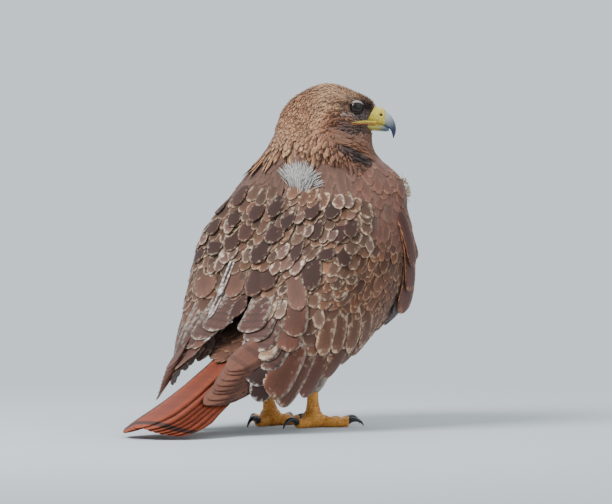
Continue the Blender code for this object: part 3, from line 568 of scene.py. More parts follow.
@dataclass
class Coat:
    """One piece of plumage: many feathers joined in one mesh, with what dresses them."""

    name: str
    points: list[np.ndarray] = field(default_factory=list)
    triangles: list[np.ndarray] = field(default_factory=list)
    vane_uv: list[np.ndarray] = field(default_factory=list)
    bake_uv: list[np.ndarray] = field(default_factory=list)
    tone: list[np.ndarray] = field(default_factory=list)
    fringe: list[np.ndarray] = field(default_factory=list)
    count: int = 0

    def _store(
        self,
        vane: Vane,
        grid: np.ndarray,
        tone: np.ndarray,
        fringe: np.ndarray,
        root_uv: np.ndarray,
    ) -> None:
        """Add finished feathers, given as points by feather, station and place across.

        Args:
            vane: the feathers' form.
            grid: their points in millimetres.
            tone: their colours, with the mottling as fourth value.
            fringe: colours of their borders, with the border's width as fourth value.
            root_uv: where each feather starts on the face below.
        """
        number, stations, ring = grid.shape[:3]
        per = stations * ring + 1
        last_u, before_u = vane.stations[-1][0], vane.stations[-2][0]
        step = (1 - last_u) / max(last_u - before_u, 1e-3)
        middle = (ring - 1) // 2
        tip = grid[:, -1, middle] + (grid[:, -1, middle] - grid[:, -2, middle]) * step
        points = np.concatenate([grid.reshape(number, -1, 3), tip[:, None]], 1)
        u = np.repeat([s[0] for s in vane.stations], ring)
        v = np.tile([*vane.across, 0.0], stations)
        u, v = np.append(u, 1.0), np.append(v, 0.0)
        shape = (number, per)
        vane_uv = np.stack([np.broadcast_to(u, shape), np.broadcast_to(v / 2 + 0.5, shape)], -1)
        bake = root_uv[:, None] + PATCH * np.stack([v / 2, u - 0.5], -1)[None]
        offsets = self.count + np.arange(number)[:, None, None] * per
        self.points.append(points.reshape(-1, 3))
        self.triangles.append((vane.faces()[None] + offsets).reshape(-1, 3))
        self.vane_uv.append(vane_uv.reshape(-1, 2))
        self.bake_uv.append(np.broadcast_to(bake, shape + (2,)).reshape(-1, 2))
        self.tone.append(np.repeat(tone, per, 0))
        self.fringe.append(np.repeat(fringe, per, 0))
        self.count += number * per

    def lay(
        self,
        surface: Surface,
        vane: Vane,
        roots: np.ndarray,
        tips: np.ndarray,
        widths: np.ndarray | float,
        heights: np.ndarray | tuple[float, float],
        tilt: np.ndarray | float,
        tone: np.ndarray,
        fringe: np.ndarray,
        rng: np.random.Generator,
    ) -> None:
        """Lay feathers that follow a face from root to tip.

        Args:
            surface: the face.
            vane: the outline.
            roots: row and column of each root.
            tips: row and column of each tip.
            widths: full width of each, in millimetres.
            heights: stand-off at root and at tip.
            tilt: how far one edge is raised and the other sunk.
            tone: colour of each, with the strength of its mottling.
            fringe: colour of each one's border, with its width.
            rng: source of the ragged edges.
        """
        widths = np.broadcast_to(widths, len(roots))
        tilt = np.broadcast_to(tilt, len(roots))
        heights = np.broadcast_to(heights, (len(roots), 2))
        shares, profile, across = vane.outline()
        centre = roots[:, None] + (tips - roots)[:, None] * shares[None, :, None]
        a, b = centre[..., 0], centre[..., 1]
        pa, pb = surface.slopes(a, b)
        move = tips - roots
        shaft = unit(pa * move[:, None, 0:1] + pb * move[:, None, 1:2])
        normal = surface.normal(a, b)
        side = unit(np.cross(normal, shaft))
        turn = surface.shift(a, b, side)
        half = widths[:, None] / 2 * profile[None]
        wide = half[..., None] * across
        if vane.ragged:
            frayed = rng.normal(0, vane.ragged, wide.shape) * np.abs(across) ** 2
            wide = wide * (1 + frayed)
        spread = turn[..., None, :] * wide[..., None]
        place = surface.point(a[..., None] + spread[..., 0], b[..., None] + spread[..., 1])
        stand = heights[:, 0:1] + (heights[:, 1:2] - heights[:, 0:1]) * shares[None]
        stand = stand[..., None] + tilt[:, None, None] * across * profile[None, :, None]
        stand = stand + vane.arch * half[..., None] * (1 - across**2)
        top = place + normal[..., None, :] * stand[..., None]
        thin = vane.thickness * (1 - 0.5 * shares)
        keel = top[:, :, len(across) // 2] - normal * (thin[None, :, None] + 0.02 * half[..., None])
        grid = np.concatenate([top, keel[:, :, None]], 2)
        root_uv = 0.02 + 0.96 * np.stack(
            [(roots[:, 1] / surface.width) % 1.0001, np.clip(roots[:, 0] / surface.height, 0, 1)], -1
        )
        self._store(vane, grid, tone, fringe, root_uv)

    def plant(
        self,
        surface: Surface,
        vane: Vane,
        roots: np.ndarray,
        directions: np.ndarray,
        lengths: np.ndarray,
        widths: np.ndarray | float,
        heights: np.ndarray | tuple[float, float],
        tone: np.ndarray,
        fringe: np.ndarray,
        rng: np.random.Generator,
        roll: float = 0.06,
    ) -> None:
        """Plant small feathers that leave a face in given directions and hug its curve.

        Args:
            surface: the face.
            vane: the outline.
            roots: row and column of each root.
            directions: the way that each points, brought into the face's own plane.
            lengths: length of each, in millimetres.
            widths: full width of each.
            heights: stand-off at root and at tip.
            tone: colour of each, with the strength of its mottling.
            fringe: colour of each one's border, with its width.
            rng: source of the small turns about each shaft.
            roll: size of those turns, in radians.
        """
        widths = np.broadcast_to(widths, len(roots))
        heights = np.broadcast_to(heights, (len(roots), 2))
        a, b = roots[:, 0], roots[:, 1]
        origin, normal = surface.point(a, b), surface.normal(a, b)
        ahead = unit(directions - normal * (directions * normal).sum(-1, keepdims=True))
        side = unit(np.cross(normal, ahead))
        reach, least, most = 4.0, -0.01, 0.06
        bends = []
        for way in (ahead, side):
            step = surface.shift(a, b, way * reach)
            turned = surface.normal(a + step[:, 0], b + step[:, 1])
            bends.append(np.clip(((turned - normal) * way).sum(-1) / reach, least, most))
        shares, profile, across = vane.outline()
        run = lengths[:, None] * shares[None]
        half = widths[:, None] / 2 * profile[None]
        wide = half[..., None] * across
        stand = heights[:, 0:1] + (heights[:, 1:2] - heights[:, 0:1]) * shares[None] ** 1.5
        stand = stand - bends[0][:, None] * run**2 / 2
        lean = rng.normal(0, roll, len(roots))[:, None, None]
        height = stand[..., None] - bends[1][:, None, None] * wide**2 / 2 + lean * wide
        height = height + vane.arch * half[..., None] * (1 - across**2) * 2
        top = (
            origin[:, None, None]
            + ahead[:, None, None] * run[..., None, None]
            + side[:, None, None] * wide[..., None]
            + normal[:, None, None] * height[..., None]
        )
        thin = vane.thickness * (1 - 0.5 * shares)[None, :, None]
        keel = top[:, :, len(across) // 2] - normal[:, None] * (thin + vane.arch * half[..., None])
        grid = np.concatenate([top, keel[:, :, None]], 2)
        root_uv = 0.02 + 0.96 * np.stack([b / surface.width % 1, a / surface.height], -1)
        self._store(vane, grid, tone, fringe, np.clip(root_uv, 0.01, 0.99))

    def build(self, material: bpy.types.Material, slot: str, nodes: tuple[str, ...]) -> None:
        """Write the mesh, dress it and set it in the frame.

        Args:
            material: the finish.
            slot: not used.
            nodes: solids that it stands for.
        """
        points = (np.concatenate(self.points) + STANCE) * MM
        points[:, 2] = np.maximum(points[:, 2], 0.0002)
        triangles = np.concatenate(self.triangles)
        piece = mesh_piece(self.name, points, triangles)
        for layer, values in (("OFBake", self.bake_uv), ("vane", self.vane_uv)):
            uv = piece.data.uv_layers.new(name=layer)
            uv.data.foreach_set("uv", np.concatenate(values)[triangles.ravel()].ravel())
        write_tone(piece, np.concatenate(self.tone))
        write_tone(piece, np.concatenate(self.fringe), "fringe")
        finish_piece(piece, material, nodes)


def mesh_piece(name: str, points: np.ndarray, triangles: np.ndarray) -> bpy.types.Object:
    """Make a smooth-shaded object from points in metres and triangles.

    Args:
        name: the piece's name.
        points: points in the frame's own place.
        triangles: three point numbers to each face.

    Returns:
        The new object, linked to the scene.
    """
    mesh = bpy.data.meshes.new(name)
    mesh.vertices.add(len(points))
    mesh.vertices.foreach_set("co", points.astype(np.float32).ravel())
    mesh.loops.add(len(triangles) * 3)
    mesh.loops.foreach_set("vertex_index", triangles.astype(np.int32).ravel())
    mesh.polygons.add(len(triangles))
    starts = np.arange(0, len(triangles) * 3, 3, dtype=np.int32)
    mesh.polygons.foreach_set("loop_start", starts)
    mesh.update(calc_edges=True)
    mesh.shade_smooth()
    piece = bpy.data.objects.new(name, mesh)
    bpy.context.scene.collection.objects.link(piece)
    return piece


def write_tone(piece: bpy.types.Object, tone: np.ndarray, label: str = "tone") -> None:
    """Store a linear colour for each point of a piece."""
    layer = piece.data.color_attributes.new(label, "FLOAT_COLOR", "POINT")
    layer.data.foreach_set("color", tone.astype(np.float32).ravel())


def read_vectors(piece: bpy.types.Object, label: str) -> np.ndarray:
    """Places ("co") or normals ("normal") of a piece's points.

    Args:
        piece: the piece.
        label: name of the values.

    Returns:
        Three values for each point.
    """
    values = np.zeros(len(piece.data.vertices) * 3, np.float32)
    piece.data.vertices.foreach_get(label, values)
    return values.reshape(-1, 3)


def add_ball(
    name: str,
    centre: np.ndarray,
    radius: float,
    fineness: tuple[int, int],
    stretch: tuple[float, float, float] = (1.0, 1.0, 1.0),
) -> bpy.types.Object:
    """Add a smooth ball.

    Args:
        name: the piece's name.
        centre: its middle in millimetres about the stance.
        radius: its radius in millimetres.
        fineness: number of segments and of rings.
        stretch: factors along the three axes.

    Returns:
        The ball.
    """
    bpy.ops.object.select_all(action="DESELECT")
    bpy.ops.mesh.primitive_uv_sphere_add(
        segments=fineness[0],
        ring_count=fineness[1],
        radius=radius * MM,
        location=tuple((centre + STANCE) * MM),
    )
    piece = bpy.context.active_object
    piece.name = name
    piece.scale = stretch
    bpy.ops.object.transform_apply(location=True, rotation=True, scale=True)
    bpy.ops.object.shade_smooth()
    return piece


def select_only(piece: bpy.types.Object) -> None:
    """Make a piece the one that operators act on.

    Args:
        piece: the piece.
    """
    bpy.ops.object.select_all(action="DESELECT")
    piece.select_set(True)
    bpy.context.view_layer.objects.active = piece


def face_outwards(piece: bpy.types.Object) -> None:
    """Turn all faces of a closed piece outwards.

    Args:
        piece: the piece.
    """
    select_only(piece)
    bpy.ops.object.mode_set(mode="EDIT")
    bpy.ops.mesh.select_all(action="SELECT")
    bpy.ops.mesh.normals_make_consistent(inside=False)
    bpy.ops.object.mode_set(mode="OBJECT")


def fuse(piece: bpy.types.Object, voxel_mm: float, rounds: int) -> None:
    """Fuse a piece's overlapping parts to one skin and smooth it.

    Args:
        piece: the piece.
        voxel_mm: size of the cells that it is fused on.
        rounds: how often it is smoothed.
    """
    select_only(piece)
    for kind, settings in (
        ("REMESH", {"mode": "VOXEL", "voxel_size": voxel_mm * MM}),
        ("SMOOTH", {"factor": 0.5, "iterations": rounds}),
    ):
        modifier = piece.modifiers.new(kind.lower(), kind)
        for key, value in settings.items():
            setattr(modifier, key, value)
        bpy.ops.object.modifier_apply(modifier=modifier.name)
    piece.data.shade_smooth()


def finish_piece(
    piece: bpy.types.Object, material: bpy.types.Material, nodes: tuple[str, ...]
) -> None:
    """Dress a piece and set it in the frame.

    Args:
        piece: the piece, already in place.
        material: its finish.
        nodes: solids that it stands for.
    """
    piece.data.materials.clear()
    piece.data.materials.append(material)
    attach(piece, "root")
    if nodes:
        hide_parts(*nodes)
    LOG.info("%s: %d faces", piece.name, len(piece.data.polygons))


def colours(count: int, colour: str, spread: float, extra: float, rng: np.random.Generator) -> np.ndarray:
    """Linear colours about one hex colour, lighter and darker, with a fourth value.

    Args:
        count: how many.
        colour: the middle colour.
        spread: how far the brightness varies, as a share.
        extra: the fourth value.
        rng: source of the variation.

    Returns:
        An array of count by four.
    """
    base = np.array(linear(colour))
    bright = np.exp(rng.normal(0, spread, (count, 1)))
    warm = rng.normal(0, spread * 0.25, (count, 1)) * np.array((1, 0, -1))
    values = np.clip(base * bright * (1 + warm), 0, 1)
    return np.concatenate([values, np.full((count, 1), extra)], 1)


def paler(tone: np.ndarray, gain: float, width: float, limit: float = 0.8) -> np.ndarray:
    """Colours of a border, brighter than the feathers by a gain, with the border's width."""
    return np.column_stack([np.clip(tone[:, :3] * gain, 0, limit), np.full(len(tone), width)])


def blend_colours(first: np.ndarray, second: np.ndarray, share: np.ndarray) -> np.ndarray:
    """Mix two arrays of colours by a share for each."""
    return first * (1 - share[:, None]) + second * share[:, None]


def rgba(hex_colour: str) -> tuple[float, float, float, float]:
    """An sRGB hex colour in linear values, fully opaque."""
    return (*linear(hex_colour), 1.0)


def cells_of(size_mm: float) -> float:
    """Texture scale at which one cell of the pattern is this many millimetres wide."""
    return 1 / (size_mm * MM)


def set_node(tree: bpy.types.NodeTree, node: bpy.types.Node, settings: dict, made: dict) -> None:
    """Give a node its settings and its links.

    Args:
        tree: the nodes that it belongs to.
        node: the node.
        settings: values by attribute, socket number or socket name. The name of an earlier node,
            with the number of its output after a colon where that isn't 0, makes a link.
        made: the earlier nodes by name.
    """
    for key, value in settings.items():
        source, _, output = str(value).partition(":")
        if source in made:
            tree.links.new(made[source].outputs[int(output or 0)], node.inputs[key])
        elif isinstance(key, int) or key in node.inputs:
            node.inputs[key].default_value = value
        else:
            setattr(node, key, value)


def add_nodes(tree: bpy.types.NodeTree, rows: tuple, made: dict) -> None:
    """Add the nodes of a finish, one for each row.

    Args:
        tree: the nodes of a material or a world.
        rows: name, kind with its operation after a colon, and settings of each node.
        made: nodes by name, to which the new ones are added.
    """
    for name, kind, settings in rows:
        family, _, operation = kind.partition(":")
        node = tree.nodes.new(f"ShaderNode{family}")
        node.name = name
        if operation:
            node.operation = operation
        set_node(tree, node, settings, made)
        made[name] = node


SMOOTHLY = {"interpolation_type": "SMOOTHSTEP"}
MIXED = {"data_type": "RGBA"}
MULTIPLIED = {"data_type": "RGBA", "blend_type": "MULTIPLY"}


@dataclass(frozen=True)
class Finish:
    """A real surface: its name, the nodes that draw it and what they feed."""

    name: str

    def rows(self) -> tuple:
        """The nodes, in the order that they are added."""
        return ()

    def shader(self) -> dict:
        """What the surface shader is given."""
        return {}

    def make(self) -> bpy.types.Material:
        """Make the material.

        Returns:
            The material.
        """
        material = bpy.data.materials.new(self.name)
        material.use_nodes = True
        tree, made = material.node_tree, {}
        add_nodes(tree, self.rows(), made)
        set_node(tree, tree.nodes["Principled BSDF"], self.shader(), made)
        return material


@dataclass(frozen=True)
class FeatherFinish(Finish):
    """Keratin feather, grown in barbs: matt, with a dark middle, a shaft and a paler border.

    The eye sees soft stripes that sweep out from the shaft, worn pale edges and blotches.
    """

    roughness: float = 0.72
    barb_pitch_mm: float = 0.8
    barbs: float = 46.0
    fray_mm: float = 3.84615
    blotch_mm: float = 5.26316
    grain_mm: float = 0.83333
    bars: float = 0.0
    bar_count: float = 9.0
    tip_band: float = 0.0
    band_width: float = 0.035
    bar_colour: str = "#2e1f1c"

    def _border(self) -> tuple:
        """Nodes for the distance to the vane's edge and the frayed pale border along it."""
        return (
            ("tone", "Attribute", {"attribute_name": "tone"}),
            ("fringe", "Attribute", {"attribute_name": "fringe"}),
            ("vane_map", "UVMap", {"uv_map": "vane"}),
            ("place", "SeparateXYZ", {0: "vane_map"}),
            ("object", "TexCoord", {}),
            ("across", "Math:MULTIPLY_ADD", {0: "place:1", 1: 2.0, 2: -1.0}),
            ("off_shaft", "Math:ABSOLUTE", {0: "across"}),
            ("wobble", "TexNoise", {"Scale": cells_of(self.fray_mm), "Detail": 2.0, 0: "object:3"}),
            # The border follows the nearer of the side and the rounded tip.
            ("past_middle", "Math:MULTIPLY_ADD", {0: "place", 1: 2.4, 2: -1.44}),
            ("near_tip", "Math:MAXIMUM", {0: "past_middle", 1: 0.0}),
            ("near_edge", "Math:MAXIMUM", {0: "off_shaft", 1: "near_tip"}),
            ("frayed", "Math:MULTIPLY_ADD", {0: "wobble", 1: 0.5, 2: -0.25}),
            ("ring", "Math:ADD", {0: "near_edge", 1: "frayed"}),
            ("into_fringe", "Math:ADD", {0: "ring", 1: "fringe:3"}),
            ("rim", "MapRange", SMOOTHLY | {0: "into_fringe", 1: 0.86, 2: 1.2}),
            ("has_fringe", "MapRange", SMOOTHLY | {0: "fringe:3", 1: 0.01, 2: 0.1}),
            ("worn", "MapRange", SMOOTHLY | {0: "wobble", 1: 0.36, 2: 0.64, 3: 0.25, 4: 0.9}),
            ("edge", "Math:MULTIPLY", {0: "rim", 1: "has_fringe"}),
            ("border", "Math:MULTIPLY", {0: "edge", 1: "worn"}),
        )

    def _ground(self) -> tuple:
        """Nodes for the dark round middle, and the pale ground at the base and the sides."""
        return (
            ("deep", "Mix", MIXED | {0: 0.42, 6: "tone", 7: (0.02, 0.010, 0.007, 1)}),
            ("outward", "MapRange", SMOOTHLY | {0: "ring", 1: 0.2, 2: 1.0}),
            ("middle", "Mix", MIXED | {0: "outward", 6: "deep:2", 7: "tone"}),
            ("blotch", "TexNoise", {"Scale": cells_of(self.blotch_mm), "Detail": 4.0, 0: "object:3"}),
            ("at_sides", "Math:MULTIPLY", {0: "off_shaft", 1: 0.55}),
            ("at_base", "Math:MULTIPLY_ADD", {0: "place", 1: -1.1, 2: "at_sides"}),
            ("blotched", "Math:MULTIPLY_ADD", {0: "blotch", 1: 2.6, 2: "at_base"}),
            ("ground", "Math:MULTIPLY_ADD", {0: "tone:3", 1: 0.35, 2: "blotched"}),
            ("pale", "MapRange", SMOOTHLY | {0: "ground", 1: 1.21, 2: 1.81}),
            ("paleness", "Math:MULTIPLY", {0: "pale", 1: "tone:3"}),
            ("mottled", "Mix", MIXED | {0: "paleness", 6: "middle:2", 7: "fringe"}),
        )

    def _bars(self) -> tuple:
        """Nodes for the dark bars across the vane and the band near its tip.

        Returns:
            Rows for add_nodes.
        """
        fade = 0.008
        low, high = self.tip_band, self.tip_band + self.band_width
        band_strength = 0.85 if self.tip_band else 0.0
        return (
            ("bar_place", "Math:MULTIPLY_ADD", {0: "wobble", 1: 0.03, 2: "place"}),
            ("bar_turn", "Math:MULTIPLY", {0: "bar_place", 1: self.bar_count * 2 * math.pi}),
            ("wave", "Math:SINE", {0: "bar_turn"}),
            ("bar", "MapRange", SMOOTHLY | {0: "wave", 1: 0.35, 2: 0.8, 4: self.bars}),
            ("barred", "Mix", MIXED | {0: "bar", 6: "mottled:2", 7: rgba(self.bar_colour)}),
            ("band_from", "MapRange", SMOOTHLY | {0: "place", 1: low - fade, 2: low, 4: band_strength}),
            ("band_to", "MapRange", SMOOTHLY | {0: "place", 1: high, 2: high + fade, 3: 1.0, 4: 0.0}),
            ("band", "Math:MULTIPLY", {0: "band_from", 1: "band_to"}),
            ("banded", "Mix", MIXED | {0: "band", 6: "barred:2", 7: rgba(self.bar_colour)}),
        )

    def rows(self) -> tuple:
        """The nodes, which read the vane map and the two colour attributes."""
        pitch = self.barb_pitch_mm * MM
        return (
            *self._border(),
            *self._ground(),
            *self._bars(),
            ("edged", "Mix", MIXED | {0: "border", 6: "banded:2", 7: "fringe"}),
            ("shaft", "MapRange", SMOOTHLY | {0: "off_shaft", 1: 0.02, 2: 0.09, 3: 0.45, 4: 0.0}),
            ("shaft_tone", "Mix", MIXED | {0: 0.55, 6: "tone", 7: (0.02, 0.014, 0.012, 1)}),
            ("shafted", "Mix", MIXED | {0: "shaft", 6: "edged:2", 7: "shaft_tone:2"}),
            # Barbs sweep from the shaft to the edge. They are drawn coarser than life to show.
            ("swept_back", "Math:MULTIPLY", {0: "off_shaft", 1: -7.0 * 2 * math.pi}),
            ("sweep", "Math:MULTIPLY_ADD", {0: "place", 1: self.barbs * 2 * math.pi, 2: "swept_back"}),
            ("barb", "Math:SINE", {0: "sweep"}),
            ("grain", "TexNoise", {"Scale": cells_of(self.grain_mm), "Detail": 2.0, 0: "object:3"}),
            ("grain_shade", "Math:MULTIPLY_ADD", {0: "grain", 1: 0.76, 2: 0.62}),
            ("shade", "Math:MULTIPLY_ADD", {0: "barb", 1: 0.05, 2: "grain_shade"}),
            ("grey", "CombineXYZ", {0: "shade", 1: "shade", 2: "shade"}),
            ("final", "Mix", MULTIPLIED | {0: 1.0, 6: "shafted:2", 7: "grey"}),
            ("relief", "Math:MULTIPLY_ADD", {0: "barb", 1: 0.5, 2: "grain"}),
            ("raised", "Bump", {"Strength": 0.35, "Distance": pitch * 0.4, "Height": "relief"}),
        )

    def shader(self) -> dict:
        """A matt surface with the faint sheen of close barbs."""
        return {
            "Base Color": "final:2",
            "Normal": "raised",
            "Roughness": self.roughness,
            "Specular IOR Level": 0.25,
            "Sheen Weight": 0.12,
            "Sheen Roughness": 0.5,
        }


@dataclass(frozen=True)
class SkinFinish(Finish):
    """Downy skin under the feathers: the eye sees the coat's own colours, soft and matt."""

    name: str = "downy_skin"
    down_mm: float = 1.42857

    def rows(self) -> tuple:
        """The nodes, which read the piece's own colour attribute."""
        return (
            ("tone", "Attribute", {"attribute_name": "tone"}),
            ("object", "TexCoord", {}),
            ("fluff", "TexNoise", {"Scale": cells_of(self.down_mm), "Detail": 4.0, 0: "object:3"}),
            ("shaded", "Mix", MULTIPLIED | {0: 0.5, 6: "tone", 7: "fluff:1"}),
            ("raised", "Bump", {"Strength": 0.5, "Distance": 0.001, "Height": "fluff"}),
        )

    def shader(self) -> dict:
        """A matt surface."""
        return {"Base Color": "shaded:2", "Normal": "raised", "Roughness": 0.9}


@dataclass(frozen=True)
class HornFinish(Finish):
    """Keratin horn, polished by use: the eye sees growth lines and a darker, glossy tip."""

    base: str
    tip: str
    root_at: tuple[float, float, float]
    tip_at: tuple[float, float, float]
    roughness: float = 0.28
    line_mm: float = 1.11111

    def rows(self) -> tuple:
        """The nodes, shaded from root to tip along a line in the frame.

        Returns:
            Rows for add_nodes.
        """
        start, end = np.array(self.root_at), np.array(self.tip_at)
        way = (end - start) / np.sum((end - start) ** 2)
        origin, slope = tuple((start + STANCE) * MM), tuple(way / MM)
        return (
            ("object", "TexCoord", {}),
            ("from_root", "VectorMath:SUBTRACT", {0: "object:3", 1: origin}),
            ("share", "VectorMath:DOT_PRODUCT", {0: "from_root", 1: slope}),
            ("lines", "TexNoise", {"Scale": cells_of(self.line_mm), "Detail": 3.0, 0: "object:3"}),
            ("uneven", "Math:MULTIPLY_ADD", {0: "lines", 1: 0.35, 2: -0.17}),
            ("reached", "Math:ADD", {0: "share:1", 1: "uneven"}),
            ("darker", "MapRange", SMOOTHLY | {0: "reached", 1: 0.1, 2: 0.85}),
            ("colour", "Mix", MIXED | {0: "darker", 6: rgba(self.base), 7: rgba(self.tip)}),
            ("raised", "Bump", {"Strength": 0.2, "Distance": 0.0003, "Height": "lines"}),
        )

    def shader(self) -> dict:
        """A glossy surface under a thin polish."""
        return {
            "Base Color": "colour:2",
            "Normal": "raised",
            "Roughness": self.roughness,
            "Coat Weight": 0.25,
            "Coat Roughness": 0.2,
        }


@dataclass(frozen=True)
class ScaledSkinFinish(Finish):
    """Bare leg and cere skin, waxy: the eye sees small plates with darker creases between."""

    plate: str
    crease: str
    plate_mm: float
    roughness: float = 0.5
    dirt_mm: float = 6.25

    def rows(self) -> tuple:
        """The nodes: a cell pattern of plates in frame coordinates, soiled in patches.

        Returns:
            Rows for add_nodes.
        """
        crease = rgba(self.crease)
        cells = {"feature": "DISTANCE_TO_EDGE", "Scale": cells_of(self.plate_mm), 0: "object:3"}
        return (
            ("object", "TexCoord", {}),
            ("cells", "TexVoronoi", cells),
            ("plates", "MapRange", SMOOTHLY | {0: "cells", 1: 0.0, 2: 0.16}),
            ("dirt", "TexNoise", {"Scale": cells_of(self.dirt_mm), "Detail": 4.0, 0: "object:3"}),
            ("stain", "MapRange", {0: "dirt", 1: 0.35, 2: 0.75, 3: 0.0, 4: 0.45}),
            ("colour", "Mix", MIXED | {0: "plates", 6: crease, 7: rgba(self.plate)}),
            ("soiled", "Mix", MIXED | {0: "stain", 6: "colour:2", 7: crease}),
            ("raised", "Bump", {"Strength": 0.6, "Distance": 0.0004, "Height": "plates"}),
        )

    def shader(self) -> dict:
        """A waxy surface that lets a little light in."""
        return {
            "Base Color": "soiled:2",
            "Normal": "raised",
            "Roughness": self.roughness,
            "Subsurface Weight": 0.08,
            "Subsurface Scale": 0.002,
        }


@dataclass(frozen=True)
class NostrilFinish(Finish):
    """Painted shadow inside the nostril: the eye sees a hole, dark and slightly uneven."""

    name: str = "nostril_shadow"
    shadow_patch_mm: float = 0.625

    def rows(self) -> tuple:
        """The nodes: two dark browns of painted shadow in fine patches."""
        return (
            ("object", "TexCoord", {}),
            ("damp", "TexNoise", {"Scale": cells_of(self.shadow_patch_mm), "Detail": 2.0, 0: "object:3"}),
            ("colour", "Mix", MIXED | {0: "damp", 6: rgba("#120e0a"), 7: rgba("#2c2117")}),
        )

    def shader(self) -> dict:
        """A matt surface."""
        return {"Base Color": "colour:2", "Roughness": 0.9}


@dataclass(frozen=True)
class EyeFinish(Finish):
    """A wet eye: the eye sees a black pupil in a dark brown iris under a clear, glossy cornea."""

    centre: tuple[float, float, float]
    axis: tuple[float, float, float]
    iris: str = "#2c1a10"
    rim: str = "#0c0706"
    pupil: str = "#050404"

    def rows(self) -> tuple:
        """The nodes, coloured by the angle from the eye's own axis."""
        centre = tuple((np.array(self.centre) + STANCE) * MM)
        return (
            ("object", "TexCoord", {}),
            ("off", "VectorMath:SUBTRACT", {0: "object:3", 1: centre}),
            ("flat", "VectorMath:NORMALIZE", {0: "off"}),
            ("facing", "VectorMath:DOT_PRODUCT", {0: "flat", 1: self.axis}),
            ("rings", "ValToRGB", {0: "facing:1"}),
        )

    def shader(self) -> dict:
        """A wet surface."""
        return {
            "Base Color": "rings",
            "Roughness": 0.12,
            "Specular IOR Level": 0.3,
            "Coat Weight": 0.35,
            "Coat Roughness": 0.02,
        }

    def make(self) -> bpy.types.Material:
        """Make the material, and set where rim, iris and pupil begin.

        Returns:
            The material.
        """
        material = super().make()
        stops = material.node_tree.nodes["rings"].color_ramp.elements
        stops[0].position, stops[0].color = 0.66, rgba(self.rim)
        stops[1].position, stops[1].color = 0.76, rgba(self.iris)
        for at, shade in ((0.895, self.iris), (0.915, self.pupil)):
            stops.new(at).color = rgba(shade)
        return material


# Colours of the plumage for each region.
CROWN, NAPE, CHEEK = "#c79a76", "#b3805f", "#bb8a68"
BACK, BREAST, BELLY = "#7d5446", "#b07e5e", "#d9c5ab"
RUMP = "#4a3029"
THIGH_BUFF, CREAM = "#d8c2a4", "#e2d8c8"


def streaks(points: np.ndarray, scale: np.ndarray) -> np.ndarray:
    """Smooth seeded noise from -1 to 1 at places, stretched along each axis by its own scale."""
    return np.array([noise.noise(Vector(place)) for place in points * scale])


@dataclass(frozen=True)
class Mark:
    """A soft patch of colour on each side of the head, as seen from the side."""

    ahead: float
    height: float
    reach: tuple[float, float]
    colour: str
    strength: float = 1.0
    slant: float = 0.0

    def share(self, h: np.ndarray, z: np.ndarray) -> np.ndarray:
        """How far the patch covers places at h ahead and z up.

        Args:
            h: distances ahead in millimetres.
            z: heights in millimetres.

        Returns:
            A share for each place.
        """
        run = h - self.ahead
        rise = z - self.height - self.slant * run
        return self.strength * np.exp(-((run / self.reach[0]) ** 4) - (rise / self.reach[1]) ** 4)


MARKS = (
    Mark(47, 304, (12, 11), "#8f563b", 0.7),
    Mark(52, 299, (9, 11), "#714836", 0.75),
    Mark(66, 296, (15, 7), "#5d463f", 0.9),
    Mark(70, 286, (14, 8), "#47393a", 0.95),
    Mark(71, 310.5, (9, 7), "#958586", 0.95),
    Mark(48, 322.5, (8, 2.2), "#5f3e30", 0.85, 0.06),
    Mark(75, 319.8, (9, 4.6), "#33211f", 0.95, -0.4),
    Mark(61.5, 318, (10, 6.5), "#3a2722", 0.9),
    Mark(59, 310.4, (6.5, 1.5), "#cbb3a8", 0.8, 0.1),
    # A thin paler line along the brow just above the eye: a painted highlight of the sunlit brow ridge.
    Mark(60.5, 326.6, (8, 1.5), "#8d6d5b", 0.8, -0.05),
    Mark(73, 328, (7, 3.0), "#7f5c46", 0.7, -0.4),
)


# Length of the body's feathers in mm, at heights from the belly to the crown.
FEATHER_SIZES = ((90, 150, 230, 262, 285, 300, 325, 340), (20, 22, 19, 15, 10, 6.5, 4.6, 3.8))


def overlaid(tone: np.ndarray, rows: tuple, rng: np.random.Generator) -> np.ndarray:
    """Lay further colours over those of a coat.

    Args:
        tone: the colours below.
        rows: colour, spread and share of each further one.
        rng: source of each feather's own shade.

    Returns:
        The colours on top.
    """
    for colour, spread, share in rows:
        tone = blend_colours(tone, colours(len(tone), colour, spread, 0.0, rng), share)
    return tone


